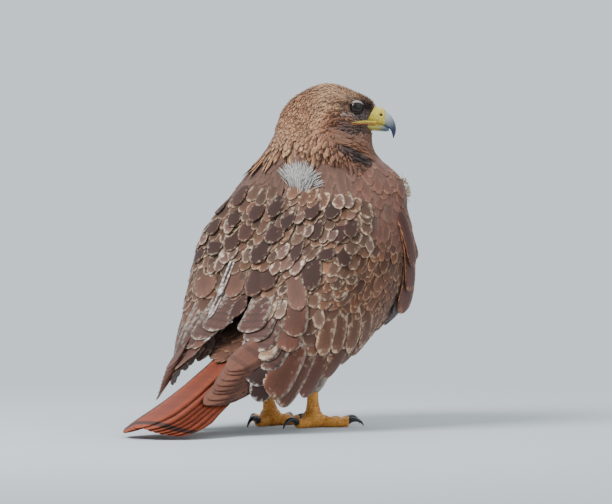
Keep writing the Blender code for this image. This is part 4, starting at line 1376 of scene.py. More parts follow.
def region_colour(points: np.ndarray, normals: np.ndarray, rng: np.random.Generator) -> np.ndarray:
    """Colour of the body's coat at places on it, in linear values.

    Args:
        points: places in millimetres about the stance.
        normals: outward normals there.
        rng: source of each feather's own shade.

    Returns:
        Four values for each place: the colour and how mottled it is.
    """
    count = len(points)
    z = points[:, 2]
    local = points - HEAD_AXIS
    h, out = local @ AHEAD, np.abs(local @ BESIDE)
    front = smooth(normals[:, 1], -0.1, 0.35)
    under = (1 - smooth(z, 95, 135)) * smooth(points[:, 1], -30, 10)
    rump = (1 - smooth(points[:, 1], -25, 0)) * (1 - smooth(z, 150, 190))
    regions = (
        (BREAST, 0.14, front),
        (BELLY, 0.1, front * (1 - smooth(z, 150, 215))),
        (CREAM, 0.08, under),
        (RUMP, 0.12, rump),
    )
    body = overlaid(colours(count, BACK, 0.16, 0.0, rng), regions, rng)
    regions = ((NAPE, 0.22, 1 - smooth(h, 5, 40)), (CHEEK, 0.14, 1 - smooth(z, 300, 318)))
    top = overlaid(colours(count, CROWN, 0.12, 0.0, rng), regions, rng)
    # Streaks run back over the head and hang down below the cheek.
    frame_places = np.stack([h, local @ BESIDE, z], -1)
    swept = streaks(frame_places, np.array((0.045, 0.16, 0.2)))
    hanging = streaks(frame_places + 40, np.array((0.17, 0.17, 0.05)))
    low_head = 1 - smooth(z, 292, 306)
    wave = swept * (1 - low_head) + hanging * low_head
    top[:, :3] *= np.exp(0.42 * wave)[:, None]
    cover = smooth(out, 1, 6)
    marks = tuple((mark.colour, 0.15, np.clip(mark.share(h, z) * cover, 0, 1)) for mark in MARKS)
    return blend_colours(body, overlaid(top, marks, rng), smooth(z, 272, 292))


# Rows of long hackles: row on the body, length and lift in mm, and how many.
RUFF = (
    (40.2, 32, 3.4, 170),
    (41.2, 32, 3.6, 170),
    (42.6, 30, 4.0, 190),
    (43.8, 30, 3.2, 190),
    (45.0, 29, 2.6, 190),
    (46.2, 28, 2.0, 190),
    (47.4, 26, 1.6, 180),
    (48.6, 24, 1.2, 170),
    (49.8, 22, 0.9, 160),
    (51.0, 20, 0.7, 150),
)
# Rows of the folded collar: drop below its line, colour, lift and length in mm. The two dark rows near the
# line are painted shadow under the fold.
FOLDS = (
    (8.0, "#9a6a50", 3.6, 28),
    (2.5, "#3a2720", 4.6, 30),
    (-1.0, "#4a322a", 5.0, 28),
    (-7.0, "#9a6a4e", 6.0, 24),
    (-11.0, "#ab7757", 5.2, 24),
    (-15.0, "#96654b", 4.0, 24),
)


@dataclass
class BodyCoat:
    """Skin, and the small feathers of head, neck, breast, belly and thighs."""

    surface: Surface = field(default_factory=body_surface)
    seed: int = 5
    inset: float = 1.2
    wing_inset: float = 2.0
    wing_flesh: float = 13.0
    row_step: float = 0.3
    spacing: float = 0.36
    crown_feather: float = 4.2
    eye_opening: tuple[float, float] = (7.9, 5.6)
    strands: int = 170

    def skin(self) -> None:
        """Make one skin from trunk, head, thighs and the flesh of the wings."""
        parts = [closed(self.surface.grid - self.surface.normals * self.inset)]
        for side in Side:
            thigh = thigh_surface(side)
            parts.append(closed(thigh.grid - thigh.normals * self.inset))
            wing = sheet(WING[:6], side, -1, 6)
            parts.append(wing.solid(-self.wing_inset, self.wing_flesh))
        points, faces = joined(parts)
        piece = mesh_piece("skin", (points + STANCE) * MM, faces)
        fuse(piece, 2.6, 3)
        rng = np.random.default_rng(self.seed)
        places = read_vectors(piece, "co") / MM - STANCE
        count = len(places)
        tone = region_colour(places, read_vectors(piece, "normal"), rng)
        wing_share = smooth(np.abs(places[:, 0]), 80, 92)
        tone = blend_colours(tone, colours(count, BACK, 0.05, 0.0, rng), wing_share)
        write_tone(piece, tone)
        nodes = ("head", "neck", "torso", "thigh_right", "thigh_left")
        finish_piece(piece, SkinFinish().make(), nodes)

    def _flow(self, points: np.ndarray, down: np.ndarray) -> np.ndarray:
        """The way that body feathers point at places on the body.

        Args:
            points: the places in millimetres.
            down: the way down the body's face at each place.

        Returns:
            A direction for each place.
        """
        local = points - HEAD_AXIS
        h = local @ AHEAD
        back = smooth(h, 0, 58)[:, None]
        on_head = smooth(points[:, 2], 285, 302)[:, None]
        swept = -AHEAD * back - UP * (1 - back) * 0.9
        return unit(down) * (1 - on_head) + swept * on_head

    def _rows(self, rng: np.random.Generator) -> tuple[np.ndarray, np.ndarray]:
        """Set out the roots of the small feathers in rows, from the belly to the crown.

        Args:
            rng: source of their unevenness.

        Returns:
            Row and column of each root, and each feather's size in millimetres.
        """
        surface = self.surface
        line = surface.grid.mean(1)
        centre_run = np.append(0, np.cumsum(np.linalg.norm(np.diff(line, axis=0), axis=1)))
        rows_of = np.linspace(0, surface.height, len(centre_run))
        roots, sizes = [], []
        at = 2.0
        while at < centre_run[-1] - 1.5:
            a = float(np.interp(at, centre_run, rows_of))
            z = float(np.interp(at, centre_run, line[:, 2]))
            size = float(np.interp(z, *FEATHER_SIZES))
            number = max(int(surface.girth(a, 90) / (size * self.spacing)), 8)
            columns = (np.arange(number) + rng.uniform()) / number * 100
            columns += rng.normal(0, 0.3, number)
            roots.append(pairs(a + rng.normal(0, 0.15, number), columns))
            sizes.append(np.full(number, size))
            at += size * self.row_step
        # The crown is flat on top: rings inside the last one cover it up to its middle.
        for a in np.linspace(a, 99.5, 10)[1:]:
            number = max(int(surface.girth(a, 90) / (self.crown_feather * self.spacing)), 6)
            roots.append(pairs(a, (np.arange(number) + rng.uniform()) / number * 100))
            sizes.append(np.full(number, self.crown_feather))
        roots = np.concatenate(roots)
        roots[:, 0] = np.clip(roots[:, 0], 0.2, 99.6)
        return roots, np.concatenate(sizes)

    def _bare(self, points: np.ndarray) -> np.ndarray:
        """Find the bare places: the eye's opening, the mouth's line, the bill, under the wings.

        Args:
            points: places on the body in millimetres.

        Returns:
            Whether each place is bare.
        """
        local = points - HEAD_AXIS
        h, out, z = local @ AHEAD, np.abs(local @ BESIDE), points[:, 2]
        half_long, half_high = self.eye_opening
        eye = ((h - EYE[0]) / half_long) ** 2 + ((z - EYE[2] + 0.2) / half_high) ** 2 < 1
        eye &= out > 8
        mouth = (np.abs(z - 302.4 - 0.02 * (80 - h)) < 1.9) & (h > 58) & (out > 4)
        bill = (h > 81.5 - (319 - z) * 0.42) & (z < 319) & (z > 294)
        under_wing = (np.abs(points[:, 0]) > 60) & (z < 225) & (points[:, 1] < 40)
        return eye | mouth | bill | under_wing

    def feathers(self, finish: bpy.types.Material) -> None:
        """Cover head, neck, breast and belly in rows of small feathers.

        Args:
            finish: the feather material.
        """
        rng = np.random.default_rng(self.seed)
        surface = self.surface
        roots, sizes = self._rows(rng)
        keep = ~self._bare(surface.point(roots[:, 0], roots[:, 1]))
        roots, sizes = roots[keep], sizes[keep]
        points = surface.point(roots[:, 0], roots[:, 1])
        normals = surface.normal(roots[:, 0], roots[:, 1])
        h, z = (points - HEAD_AXIS) @ AHEAD, points[:, 2]
        # The face has the smallest feathers, the cheeks and nape longer ones.
        face = smooth(h, 45, 74) * smooth(z, 288, 300)
        on_head = smooth(z, 280, 292)
        lengths = sizes * rng.uniform(0.85, 1.25, len(roots)) * (1 - 0.3 * face)
        lengths *= 1 + 0.85 * on_head * (1 - face)
        nape = smooth(-h, -18, 4) * smooth(z, 270, 292)
        lengths *= 1 + 0.45 * nape
        neck = smooth(z, 245, 262) * (1 - smooth(z, 288, 300)) * (1 - face)
        lengths *= 1 + 0.9 * neck
        widths = lengths * (0.6 - 0.3 * np.maximum(on_head, neck) * (1 - 0.4 * face) - 0.1 * neck)
        widths *= rng.uniform(0.85, 1.15, len(roots))
        pa, _ = surface.slopes(roots[:, 0], roots[:, 1])
        way = self._flow(points, -pa) + rng.normal(0, 0.12, points.shape)
        tone = region_colour(points, normals, rng)
        tone[:, 3] = 0.0
        front = smooth(normals[:, 1], 0.0, 0.4) * (1 - smooth(z, 275, 290))
        band = front * np.exp(-(((z - 140) / 26) ** 2))
        streak = rng.uniform(size=len(roots)) < band * 0.75
        tone[streak, :3] *= 0.42
        gain = (1.5 - 0.22 * on_head + 0.25 * nape)[:, None]
        border = 0.16 + 0.2 * on_head - 0.1 * front + 0.12 * nape
        fringe = np.column_stack([np.clip(tone[:, :3] * gain + 0.02, 0, 0.8), border])
        heights = pairs(-1.4, 0.5 + sizes * 0.03 + 0.5 * nape)
        heights[:, 1] *= rng.uniform(0.7, 1.3, len(roots))
        groups = (
            ("coat_head", z > 284, FACE_VANE),
            ("coat_neck", (z <= 284) & (z > 240), HACKLE_VANE),
            ("coat_breast", z <= 240, BODY_VANE),
        )
        for name, chosen, vane in groups:
            coat = Coat(name)
            coat.plant(
                surface, vane, roots[chosen], way[chosen], lengths[chosen], widths[chosen],
                heights[chosen], tone[chosen], fringe[chosen], rng,
            )
            coat.build(finish, "plumage", ())

    def ruff(self, finish: bpy.types.Material) -> None:
        """Drape the long hackles of the neck over the shoulders and the mantle.

        Args:
            finish: the feather material.
        """
        rng = np.random.default_rng(self.seed + 1)
        coat = Coat("coat_ruff")
        for row, length, lift, number in RUFF:
            b = (np.arange(number) + rng.uniform()) / number * 100 + rng.normal(0, 0.4, number)
            a = row + rng.normal(0, 0.5, number)
            roots = pairs(a, b)
            points, normals = self.surface.point(a, b), self.surface.normal(a, b)
            pa, _ = self.surface.slopes(a, b)
            way = unit(-pa) + rng.normal(0, 0.12, points.shape)
            tone = colours(number, "#92654e" if row > 44 else "#80594a", 0.2, 0.0, rng)
            tone[:, :3] *= np.exp(0.62 * streaks(points, np.array((0.16, 0.16, 0.05))))[:, None]
            # The lowest rows are painted darker, most towards the front: painted shadow of the crease under
            # the collar.
            if row < 42:
                crease_shade_ahead = smooth((points - HEAD_AXIS) @ AHEAD, 8, 20)
                tone[:, :3] *= (0.75 - 0.55 * crease_shade_ahead)[:, None]
            front = smooth(normals[:, 1], 0.1, 0.5)
            tone = blend_colours(tone, colours(number, BREAST, 0.14, 0.0, rng), front)
            fringe = paler(tone, 1.25, 0.12)
            heights = pairs(0.0, lift * rng.uniform(0.7, 1.2, number))
            lengths = length * rng.uniform(0.75, 1.25, number)
            coat.plant(
                self.surface, HACKLE_VANE, roots, way, lengths, lengths * 0.19,
                heights, tone, fringe, rng,
            )
        coat.build(finish, "plumage", ())
        self.drape(finish)

    def drape(self, finish: bpy.types.Material) -> None:
        """Lay the long feathers that the turned neck folds over the right shoulder, with painted shadow
        under the fold.

        Args:
            finish: the feather material.
        """
        rng = np.random.default_rng(self.seed + 2)
        coat = Coat("coat_collar_fold")
        rows, columns = self.surface.grid.shape[:2]
        local = (self.surface.grid - HEAD_AXIS).reshape(-1, 3)
        h, out = local @ AHEAD, local @ BESIDE
        for drop, colour, lift, length in FOLDS:
            number = 34
            share = (np.arange(number) + rng.uniform(0, 0.6, number)) / number
            ahead = 34 + 60 * share
            height = 281 - 33 * share**1.5 - drop
            off = (h[None] - ahead[:, None]) ** 2 + (local[None, :, 2] - height[:, None]) ** 2
            off = off + 1e6 * (out[None] < 0)
            near = np.argmin(off, 1)
            at_row = near // columns / (rows - 1) * self.surface.height
            at_column = near % columns / columns * self.surface.width
            way = np.tile(AHEAD * 0.86 - UP * 0.5, (number, 1)) + rng.normal(0, 0.1, (number, 3))
            tone = colours(number, colour, 0.14, 0.0, rng)
            lengths = length * rng.uniform(0.85, 1.15, number)
            coat.plant(
                self.surface, HACKLE_VANE, pairs(at_row, at_column), way, lengths, lengths * 0.26,
                (0.0, lift), tone, paler(tone, 1.4, 0.16), rng,
            )
        coat.build(finish, "plumage", ())

    def thighs(self, finish: bpy.types.Material) -> None:
        """Feather the thighs in buff, with loose pale strands at their lower ends.

        Args:
            finish: the feather material.
        """
        for side in Side:
            rng = np.random.default_rng(self.seed + 10 + side.value)
            surface = thigh_surface(side)
            coat = Coat(f"coat_thigh_{side.label}")
            for row in np.linspace(0.02, 0.93, 22):
                size = 20 - 7 * row
                number = int(surface.girth(row, 40) / (size * 0.3))
                a = row + rng.normal(0, 0.008, number)
                b = (np.arange(number) + rng.uniform()) / number
                roots = pairs(np.clip(a, 0.0, 0.97), b)
                points = surface.point(roots[:, 0], b)
                pa, _ = surface.slopes(roots[:, 0], b)
                way = unit(pa) + rng.normal(0, 0.1, points.shape)
                tone = blend_colours(
                    colours(number, THIGH_BUFF, 0.12, 0.0, rng),
                    colours(number, "#e2d9cb", 0.06, 0.0, rng),
                    np.full(number, smooth(np.array(row), 0.45, 0.95)),
                )
                fringe = paler(tone, 1.3, 0.2, 0.9)
                lengths = size * rng.uniform(0.8, 1.25, number)
                coat.plant(
                    surface, HACKLE_VANE, roots, way, lengths, lengths * 0.34,
                    (-1.0, 2.0), tone, fringe, rng,
                )
            number = self.strands
            roots = pairs(rng.uniform(0.5, 0.9, number), rng.uniform(0, 1, number))
            pa, _ = surface.slopes(roots[:, 0], roots[:, 1])
            way = unit(pa) + rng.normal(0, 0.22, pa.shape)
            tone = colours(number, "#e8e1d6", 0.06, 0.0, rng)
            fringe = colours(number, "#f1ece3", 0.04, 0.2, rng)
            heights = pairs(0.0, rng.uniform(2.5, 6.5, number))
            lengths = rng.uniform(13, 21, number)
            coat.plant(surface, DOWN_VANE, roots, way, lengths, 1.5, heights, tone, fringe, rng, 0.4)
            coat.build(finish, "breast", ())


@dataclass(frozen=True)
class Tier:
    """Rows of like feathers on a wing: where they lie and how they look."""

    rows: np.ndarray
    columns: tuple[float, float]
    reach: float
    width: float
    spacing: float
    heights: tuple[float, float]
    colour: str
    spread: float
    fringe: str
    border: float
    mottle: float = 0.0
    tilt: float = 0.35


# The left, far wing is painted darker as painted shade, and less mottled: shares of red, green, blue and
# mottling.
FAR_WING_PAINTED_SHADE = (0.8, 0.8, 0.8, 0.7)


class Kind(Enum):
    """Ways that a placed feather looks: colour, its spread, fringe, fringe width, mottling."""

    ROUND = ("#3f241c", 0.12, "#d9c2a8", 0.12, 0.3)
    WHITE = ("#7a594c", 0.16, "#dcc6ae", 0.22, 1.0)
    CREAMY = ("#8f6d5a", 0.16, "#d8c0a4", 0.22, 0.9)
    DARK = ("#4a2d24", 0.1, "#b8957c", 0.13, 0.1)
    SMOOTH = ("#7a5444", 0.06, "#c9ad97", 0.12, 0.1)
    PALE = ("#a67f64", 0.1, "#e6d2b8", 0.3, 0.9)
    LOBE = ("#6c4233", 0.1, "#e0c6ab", 0.12, 0.22)
    STREAK = ("#7a5340", 0.14, "#dcbd9b", 0.22, 0.5)
    EDGED = ("#3a2520", 0.08, "#e0d7cb", 0.13, 0.1)
    BARRED = ("#dcd4c8", 0.03, "#ece6dc", 0.2, 0.2)
    LINE = ("#5a4038", 0.08, "#f0e9df", 0.6, 0.3)
    BLADE = ("#64392e", 0.1, "#cf9069", 0.11, 0.0)


# Feathers that show singly: row and column of root and tip, width, lift in mm, and kind.
PLACED = {
    Side.RIGHT: (
        (5.56, 2.80, 7.20, 2.58, 23, 1.0, Kind.EDGED),
        (6.10, 2.59, 7.92, 2.06, 25, 1.2, Kind.EDGED),
        (6.53, 2.35, 8.32, 1.63, 27, 1.4, Kind.EDGED),
        (5.02, 2.83, 6.39, 2.66, 20, 2.0, Kind.BARRED),
        (5.91, 1.42, 7.49, 0.47, 30, 1.2, Kind.LOBE),
        (5.98, 1.67, 8.08, 1.03, 35, 1.8, Kind.LOBE),
        (5.61, 1.99, 7.94, 1.52, 35, 2.8, Kind.LOBE),
        (5.51, 2.33, 6.90, 2.32, 22, 3.2, Kind.PALE),
        (5.03, 1.48, 6.77, 0.41, 24, 1.0, Kind.LOBE),
        (4.81, 1.72, 6.18, 1.35, 20, 2.6, Kind.STREAK),
        (4.65, 1.61, 6.06, 1.11, 20, 2.2, Kind.STREAK),
        (4.51, 1.50, 5.97, 0.67, 20, 1.9, Kind.STREAK),
        (4.38, 1.41, 5.75, 0.26, 18, 1.6, Kind.STREAK),
        (4.24, 1.31, 5.45, 0.16, 16, 1.4, Kind.STREAK),
        (4.05, 1.22, 5.14, 0.14, 14, 1.2, Kind.STREAK),
        (4.89, 2.52, 6.34, 1.94, 28, 4.2, Kind.LOBE),
        (4.46, 2.39, 5.90, 2.01, 27, 5.0, Kind.LOBE),
        (4.05, 2.63, 5.17, 2.13, 26, 5.8, Kind.SMOOTH),
        (4.26, 3.09, 5.12, 2.99, 24, 4.2, Kind.DARK),
        (4.03, 2.91, 4.87, 2.81, 24, 4.8, Kind.DARK),
        (3.43, 3.17, 4.20, 3.09, 25, 5.2, Kind.ROUND),
        (2.87, 3.03, 3.60, 2.98, 24, 5.8, Kind.ROUND),
        (3.53, 2.80, 4.29, 2.67, 20, 4.4, Kind.WHITE),
        (3.40, 2.60, 4.33, 2.47, 20, 4.6, Kind.WHITE),
        (3.14, 2.69, 3.96, 2.54, 17, 6.2, Kind.ROUND),
        (3.63, 2.41, 4.61, 2.12, 24, 6.6, Kind.ROUND),
        (3.28, 2.26, 3.79, 2.12, 20, 6.0, Kind.ROUND),
        (2.56, 2.49, 3.30, 2.40, 19, 6.4, Kind.ROUND),
        (2.49, 2.13, 3.28, 2.09, 17, 6.0, Kind.ROUND),
        (2.38, 2.76, 2.91, 2.68, 16, 5.4, Kind.WHITE),
        (2.67, 2.34, 3.34, 2.28, 13, 5.2, Kind.WHITE),
        (2.06, 2.55, 2.74, 2.52, 21, 7.0, Kind.ROUND),
        (1.86, 2.18, 2.64, 2.23, 20, 7.0, Kind.ROUND),
        (2.42, 2.89, 3.15, 2.85, 18, 6.4, Kind.ROUND),
        (2.32, 1.92, 3.05, 1.93, 16, 5.8, Kind.ROUND),
        (1.66, 1.95, 2.26, 1.93, 12, 6.6, Kind.WHITE),
        (3.08, 2.03, 3.85, 1.84, 18, 5.4, Kind.ROUND),
        (3.37, 2.83, 3.98, 2.75, 16, 6.6, Kind.WHITE),
        (3.62, 2.71, 4.21, 2.59, 15, 6.4, Kind.WHITE),
        (3.78, 2.85, 4.43, 2.77, 15, 6.0, Kind.WHITE),
        (1.78, 2.13, 2.31, 2.07, 14, 7.0, Kind.WHITE),
        (2.75, 2.23, 3.24, 2.16, 13, 7.2, Kind.WHITE),
        (2.75, 2.57, 3.25, 2.50, 12, 7.6, Kind.WHITE),
        (5.13, 2.95, 6.03, 2.82, 15, 5.0, Kind.BARRED),
        (5.25, 2.81, 6.32, 2.61, 16, 5.6, Kind.BARRED),
        (4.86, 2.73, 5.73, 2.58, 18, 6.2, Kind.CREAMY),
        (4.84, 2.55, 5.54, 2.38, 16, 6.8, Kind.CREAMY),
        (4.76, 2.00, 5.52, 1.68, 13, 5.0, Kind.CREAMY),
        (2.75, 1.66, 3.35, 1.54, 11, 5.0, Kind.CREAMY),
        (2.21, 3.11, 2.90, 3.11, 18, 6.8, Kind.ROUND),
        (2.65, 0.58, 4.55, -0.03, 34, 6.0, Kind.BLADE),
        (2.40, 0.80, 3.98, 0.19, 28, 8.0, Kind.BLADE),
        (2.09, 0.98, 3.43, 0.43, 22, 9.5, Kind.BLADE),
    ),
    Side.LEFT: (
        (4.68, 2.37, 6.40, 2.41, 24, 1.4, Kind.LOBE),
        (5.00, 2.30, 7.86, 2.79, 26, 1.0, Kind.LOBE),
        (5.01, 2.53, 6.90, 2.79, 20, 2.0, Kind.LOBE),
        (4.02, 1.86, 4.97, 1.79, 16, 2.5, Kind.DARK),
        (4.88, 2.86, 5.85, 3.03, 28, 2.0, Kind.DARK),
        (4.01, 2.74, 5.11, 2.83, 27, 3.6, Kind.SMOOTH),
        (3.81, 2.18, 4.97, 2.40, 30, 3.6, Kind.SMOOTH),
        (3.64, 2.65, 5.05, 2.64, 7, 6.0, Kind.LINE),
        (4.37, 2.63, 5.71, 2.63, 7, 5.6, Kind.LINE),
        (5.10, 2.62, 6.34, 2.64, 8, 4.8, Kind.LINE),
        (5.65, 2.79, 6.68, 2.89, 6, 4.6, Kind.LINE),
        (3.15, 1.93, 3.92, 2.13, 20, 5.4, Kind.ROUND),
        (3.01, 2.30, 3.80, 2.37, 20, 5.8, Kind.ROUND),
        (2.90, 2.52, 3.74, 2.59, 20, 6.2, Kind.ROUND),
        (2.28, 1.93, 3.13, 2.29, 19, 6.6, Kind.ROUND),
        (2.22, 2.36, 3.01, 2.53, 18, 7.0, Kind.ROUND),
        (3.42, 2.50, 4.08, 2.56, 16, 4.6, Kind.WHITE),
        (2.71, 1.80, 3.39, 2.17, 15, 5.0, Kind.WHITE),
        (2.71, 2.67, 3.49, 2.74, 19, 6.4, Kind.DARK),
        (3.74, 2.34, 4.32, 2.41, 14, 4.6, Kind.WHITE),
        (2.50, 2.34, 3.19, 2.51, 13, 7.0, Kind.WHITE),
        (3.27, 2.58, 3.98, 2.64, 13, 6.6, Kind.WHITE),
        (2.42, 1.79, 3.01, 2.08, 12, 6.6, Kind.WHITE),
        (2.90, 1.87, 3.48, 2.04, 11, 6.0, Kind.WHITE),
        (3.77, 2.46, 4.29, 2.51, 12, 6.0, Kind.WHITE),
        (1.79, 1.64, 2.50, 2.11, 18, 6.8, Kind.DARK),
        (1.48, 2.07, 2.35, 2.41, 18, 7.2, Kind.DARK),
        (2.21, 2.72, 2.91, 2.77, 18, 7.0, Kind.DARK),
    ),
}


@dataclass
class Wing:
    """One folded wing: coverts, scapulars, secondaries, tertials and primaries."""

    side: Side
    seed: int = 31

    def tiers(self) -> tuple[Tier, ...]:
        """The small and middle feathers, from under to over.

        Returns:
            Their tiers.
        """
        rufous, buff = "#c4956f", "#dcc0a0"
        steps = np.arange
        return (
            Tier(
                steps(4.15, 5.3, 0.36), (0.12, 1.75), 1.0, 15, 9, (-1.5, 1.8),
                "#79523f", 0.18, buff, 0.18, 0.45,
            ),
            Tier(
                steps(4.0, 5.0, 0.4), (1.7, 2.98), 1.3, 24, 15, (-1.5, 1.8),
                "#6e4a3b", 0.14, buff, 0.14, 0.3,
            ),
            Tier(
                steps(2.45, 4.3, 0.25), (-0.05, 1.85), 0.8, 12, 7, (-1.2, 1.9),
                "#714a37", 0.24, rufous, 0.2, 0.5,
            ),
            Tier(
                steps(-0.2, 2.6, 0.2), (-0.02, 1.85), 0.95, 11, 6.5, (-0.6, 1.0),
                "#84594a", 0.1, rufous, 0.12, 0.1, 0.1,
            ),
            Tier(
                steps(1.5, 4.3, 0.3), (1.62, 3.0), 0.8, 15, 9, (-1.0, 2.3),
                "#74523f", 0.24, "#d2b698", 0.22, 0.85,
            ),
            Tier(
                steps(-0.4, 1.75, 0.18), (1.2, 3.02), 1.35, 13, 6.0, (-0.2, 0.6),
                "#7f5d4e", 0.04, "#7f5d4e", 0.0, 0.0, 0.03,
            ),
        )

    def coverts(self, surface: Surface, finish: bpy.types.Material) -> None:
        """Lay the tiers of coverts and scapulars.

        Args:
            surface: the wing's outer face.
            finish: the feather material.
        """
        rng = np.random.default_rng(self.seed + self.side.value)
        coat = Coat(f"wing_{self.side.label}_coverts")
        for tier in reversed(self.tiers()):
            for k, row in enumerate(tier.rows):
                spot = np.linspace(tier.columns[0], tier.columns[1], 30)
                line = surface.point(np.full(30, row), spot)
                length = np.linalg.norm(np.diff(line, axis=0), axis=1).sum()
                number = max(int(length / tier.spacing), 2)
                share = (np.arange(number) + (0.5 if k % 2 else 0.0) + 0.25) / number
                t = tier.columns[0] + (tier.columns[1] - tier.columns[0]) * share
                t = t + rng.normal(0, 0.02, number)
                s = row + rng.normal(0, 0.05, number)
                reach = tier.reach * rng.uniform(0.9, 1.12, number)
                tips = pairs(s + reach, t + rng.normal(0, 0.035, number))
                tone = colours(number, tier.colour, tier.spread, tier.mottle, rng)
                tone[:, 3] *= rng.uniform(0.2, 1.25, number)
                # The far wing is painted darker: painted shade.
                if self.side is Side.LEFT:
                    tone *= FAR_WING_PAINTED_SHADE
                fringe = colours(number, tier.fringe, 0.12, tier.border, rng)
                fringe[:, 3] *= rng.uniform(0.55, 1.3, number)
                heights = np.tile(tier.heights, (number, 1)) + rng.normal(0, 0.25, (number, 2))
                widths = tier.width * rng.uniform(0.88, 1.14, number)
                coat.lay(
                    surface, COVERT_VANE, pairs(s, t), tips, widths, heights,
                    tier.tilt * self.side.value, tone, fringe, rng,
                )
        coat.build(finish, "plumage", (f"wing_{self.side.label}",))

    def placed(self, surface: Surface, plain: bpy.types.Material, barred: bpy.types.Material) -> None:
        """Lay the feathers that show singly, over the tiers.

        Args:
            surface: the wing's outer face.
            plain: finish of most of them.
            barred: finish of the white ones with dark bars.
        """
        rng = np.random.default_rng(self.seed + 3 + self.side.value)
        singles = Coat(f"wing_{self.side.label}_placed")
        bars = Coat(f"wing_{self.side.label}_barred")
        for a0, b0, a1, b1, width, lift, kind in PLACED[self.side]:
            colour, spread, border, border_width, mottle = kind.value
            tone = colours(1, colour, spread, mottle, rng)
            fringe = colours(1, border, 0.05, border_width, rng)
            reach = abs(a1 - a0)
            # Long feathers start near their mark, short ones further back under the next row.
            long = reach > 1.3
            vane, back = (FLIGHT_VANE, 0.1) if long else (COVERT_VANE, 0.3)
            root = pairs([a0 - back * reach], [b0 - back * (b1 - b0)])
            heights = (0.0, 2.2 + 0.7 * lift) if long else (-1.5, 2.0 + 0.42 * lift)
            coat = bars if kind is Kind.BARRED else singles
            coat.lay(
                surface, vane, root, pairs([a1], [b1]), float(width), heights,
                0.5 * self.side.value, tone, fringe, rng,
            )
        singles.build(plain, "plumage", ())
        if bars.count:
            bars.build(barred, "plumage", ())

    def secondaries(self, surface: Surface, finish: bpy.types.Material) -> None:
        """Lay the secondaries, the tertials over them and the wrist's dark feathers.

        Args:
            surface: the wing's outer face.
            finish: the feather material.
        """
        rng = np.random.default_rng(self.seed + 7 + self.side.value)
        coat = Coat(f"wing_{self.side.label}_secondaries")
        number = 13
        share = (np.arange(number) + 0.5) / number
        t = 0.34 + 2.0 * share
        tip = 5.85 + 0.35 * t + 1.1 * smooth(t, 0.6, 1.9) + rng.normal(0, 0.07, number)
        roots, tips = pairs(3.9, t), pairs(tip, t + 0.04)
        tone = colours(number, "#6b4537", 0.1, 0.25, rng)
        fringe = colours(number, "#d2b396", 0.1, 0.12, rng)
        heights = pairs(-2.4, -0.4 + 0.1 * np.arange(number))
        widths = 19.0 + 13.0 * np.minimum(share * 2.5, 1)
        tilt = 1.5 * self.side.value
        coat.lay(surface, FLIGHT_VANE, roots, tips, widths, heights, tilt, tone, fringe, rng)
        number = 6
        share = (np.arange(number) + 0.5) / number
        t = 2.05 + 0.85 * share
        roots, tips = pairs(4.5 + 0.1 * share, t), pairs(7.5 - 1.35 * share, t - 0.12 * (1 - share))
        tone = colours(number, "#5e3e34", 0.1, 0.5, rng)
        fringe = colours(number, "#dccdb9", 0.08, 0.13, rng)
        heights = pairs(-0.5, 1.6 + 0.75 * np.arange(number))
        tilt = 1.2 * self.side.value
        coat.lay(surface, FLIGHT_VANE, roots, tips, 33.0, heights, tilt, tone, fringe, rng)
        number = 5
        share = np.arange(number) / (number - 1)
        roots = pairs(3.0 + 0.2 * share, 0.02 + 0.08 * share)
        tips = pairs(5.0 - 0.35 * share, -0.08 + 0.22 * share)
        tone = colours(number, "#4b3a3c", 0.1, 0.0, rng)
        fringe = colours(number, "#8d7a72", 0.08, 0.1, rng)
        heights = pairs(-1.0, 0.5 + 0.8 * np.arange(number))
        coat.lay(surface, COVERT_VANE, roots, tips, 21.0, heights, 0.0, tone, fringe, rng)
        coat.build(finish, "plumage", ())

    def primaries(self, finish: bpy.types.Material) -> None:
        """Stack the folded primaries, the inner ones shorter and on top.

        Args:
            finish: the feather material.
        """
        rng = np.random.default_rng(self.seed + 17 + self.side.value)
        surface = sheet(PRIMARIES[self.side], self.side, -1)
        coat = Coat(f"wing_{self.side.label}_primaries")
        number = 9
        share = np.arange(number) / (number - 1)
        t = 0.5 + 1.0 * share
        tip = 4.0 - 1.0 * share**1.1
        tip[0] -= 0.12
        tip += rng.normal(0, 0.035, number)
        t = t + rng.normal(0, 0.02, number)
        roots, tips = pairs(0.4, t), pairs(tip, t)
        tone = colours(number, "#6f4637", 0.1, 0.1, rng)
        fringe = colours(number, "#8f7060", 0.1, 0.035, rng)
        stand = (np.arange(number) - 4.0) * 1.0
        tilt = 0.4 * self.side.value
        coat.lay(surface, FLIGHT_VANE, roots, tips, 28.0, pairs(stand, stand), tilt, tone, fringe, rng)
        coat.build(finish, "plumage", ())

    def build(
        self, covert: bpy.types.Material, flight: bpy.types.Material, barred: bpy.types.Material
    ) -> None:
        """Build the whole wing with its three finishes.

        Args:
            covert: finish of the small feathers.
            flight: finish of the long feathers.
            barred: finish of the barred feathers.
        """
        surface = sheet(WING, self.side, -1)
        self.coverts(surface, covert)
        self.placed(surface, covert, barred)
        self.secondaries(surface, flight)
        self.primaries(flight)


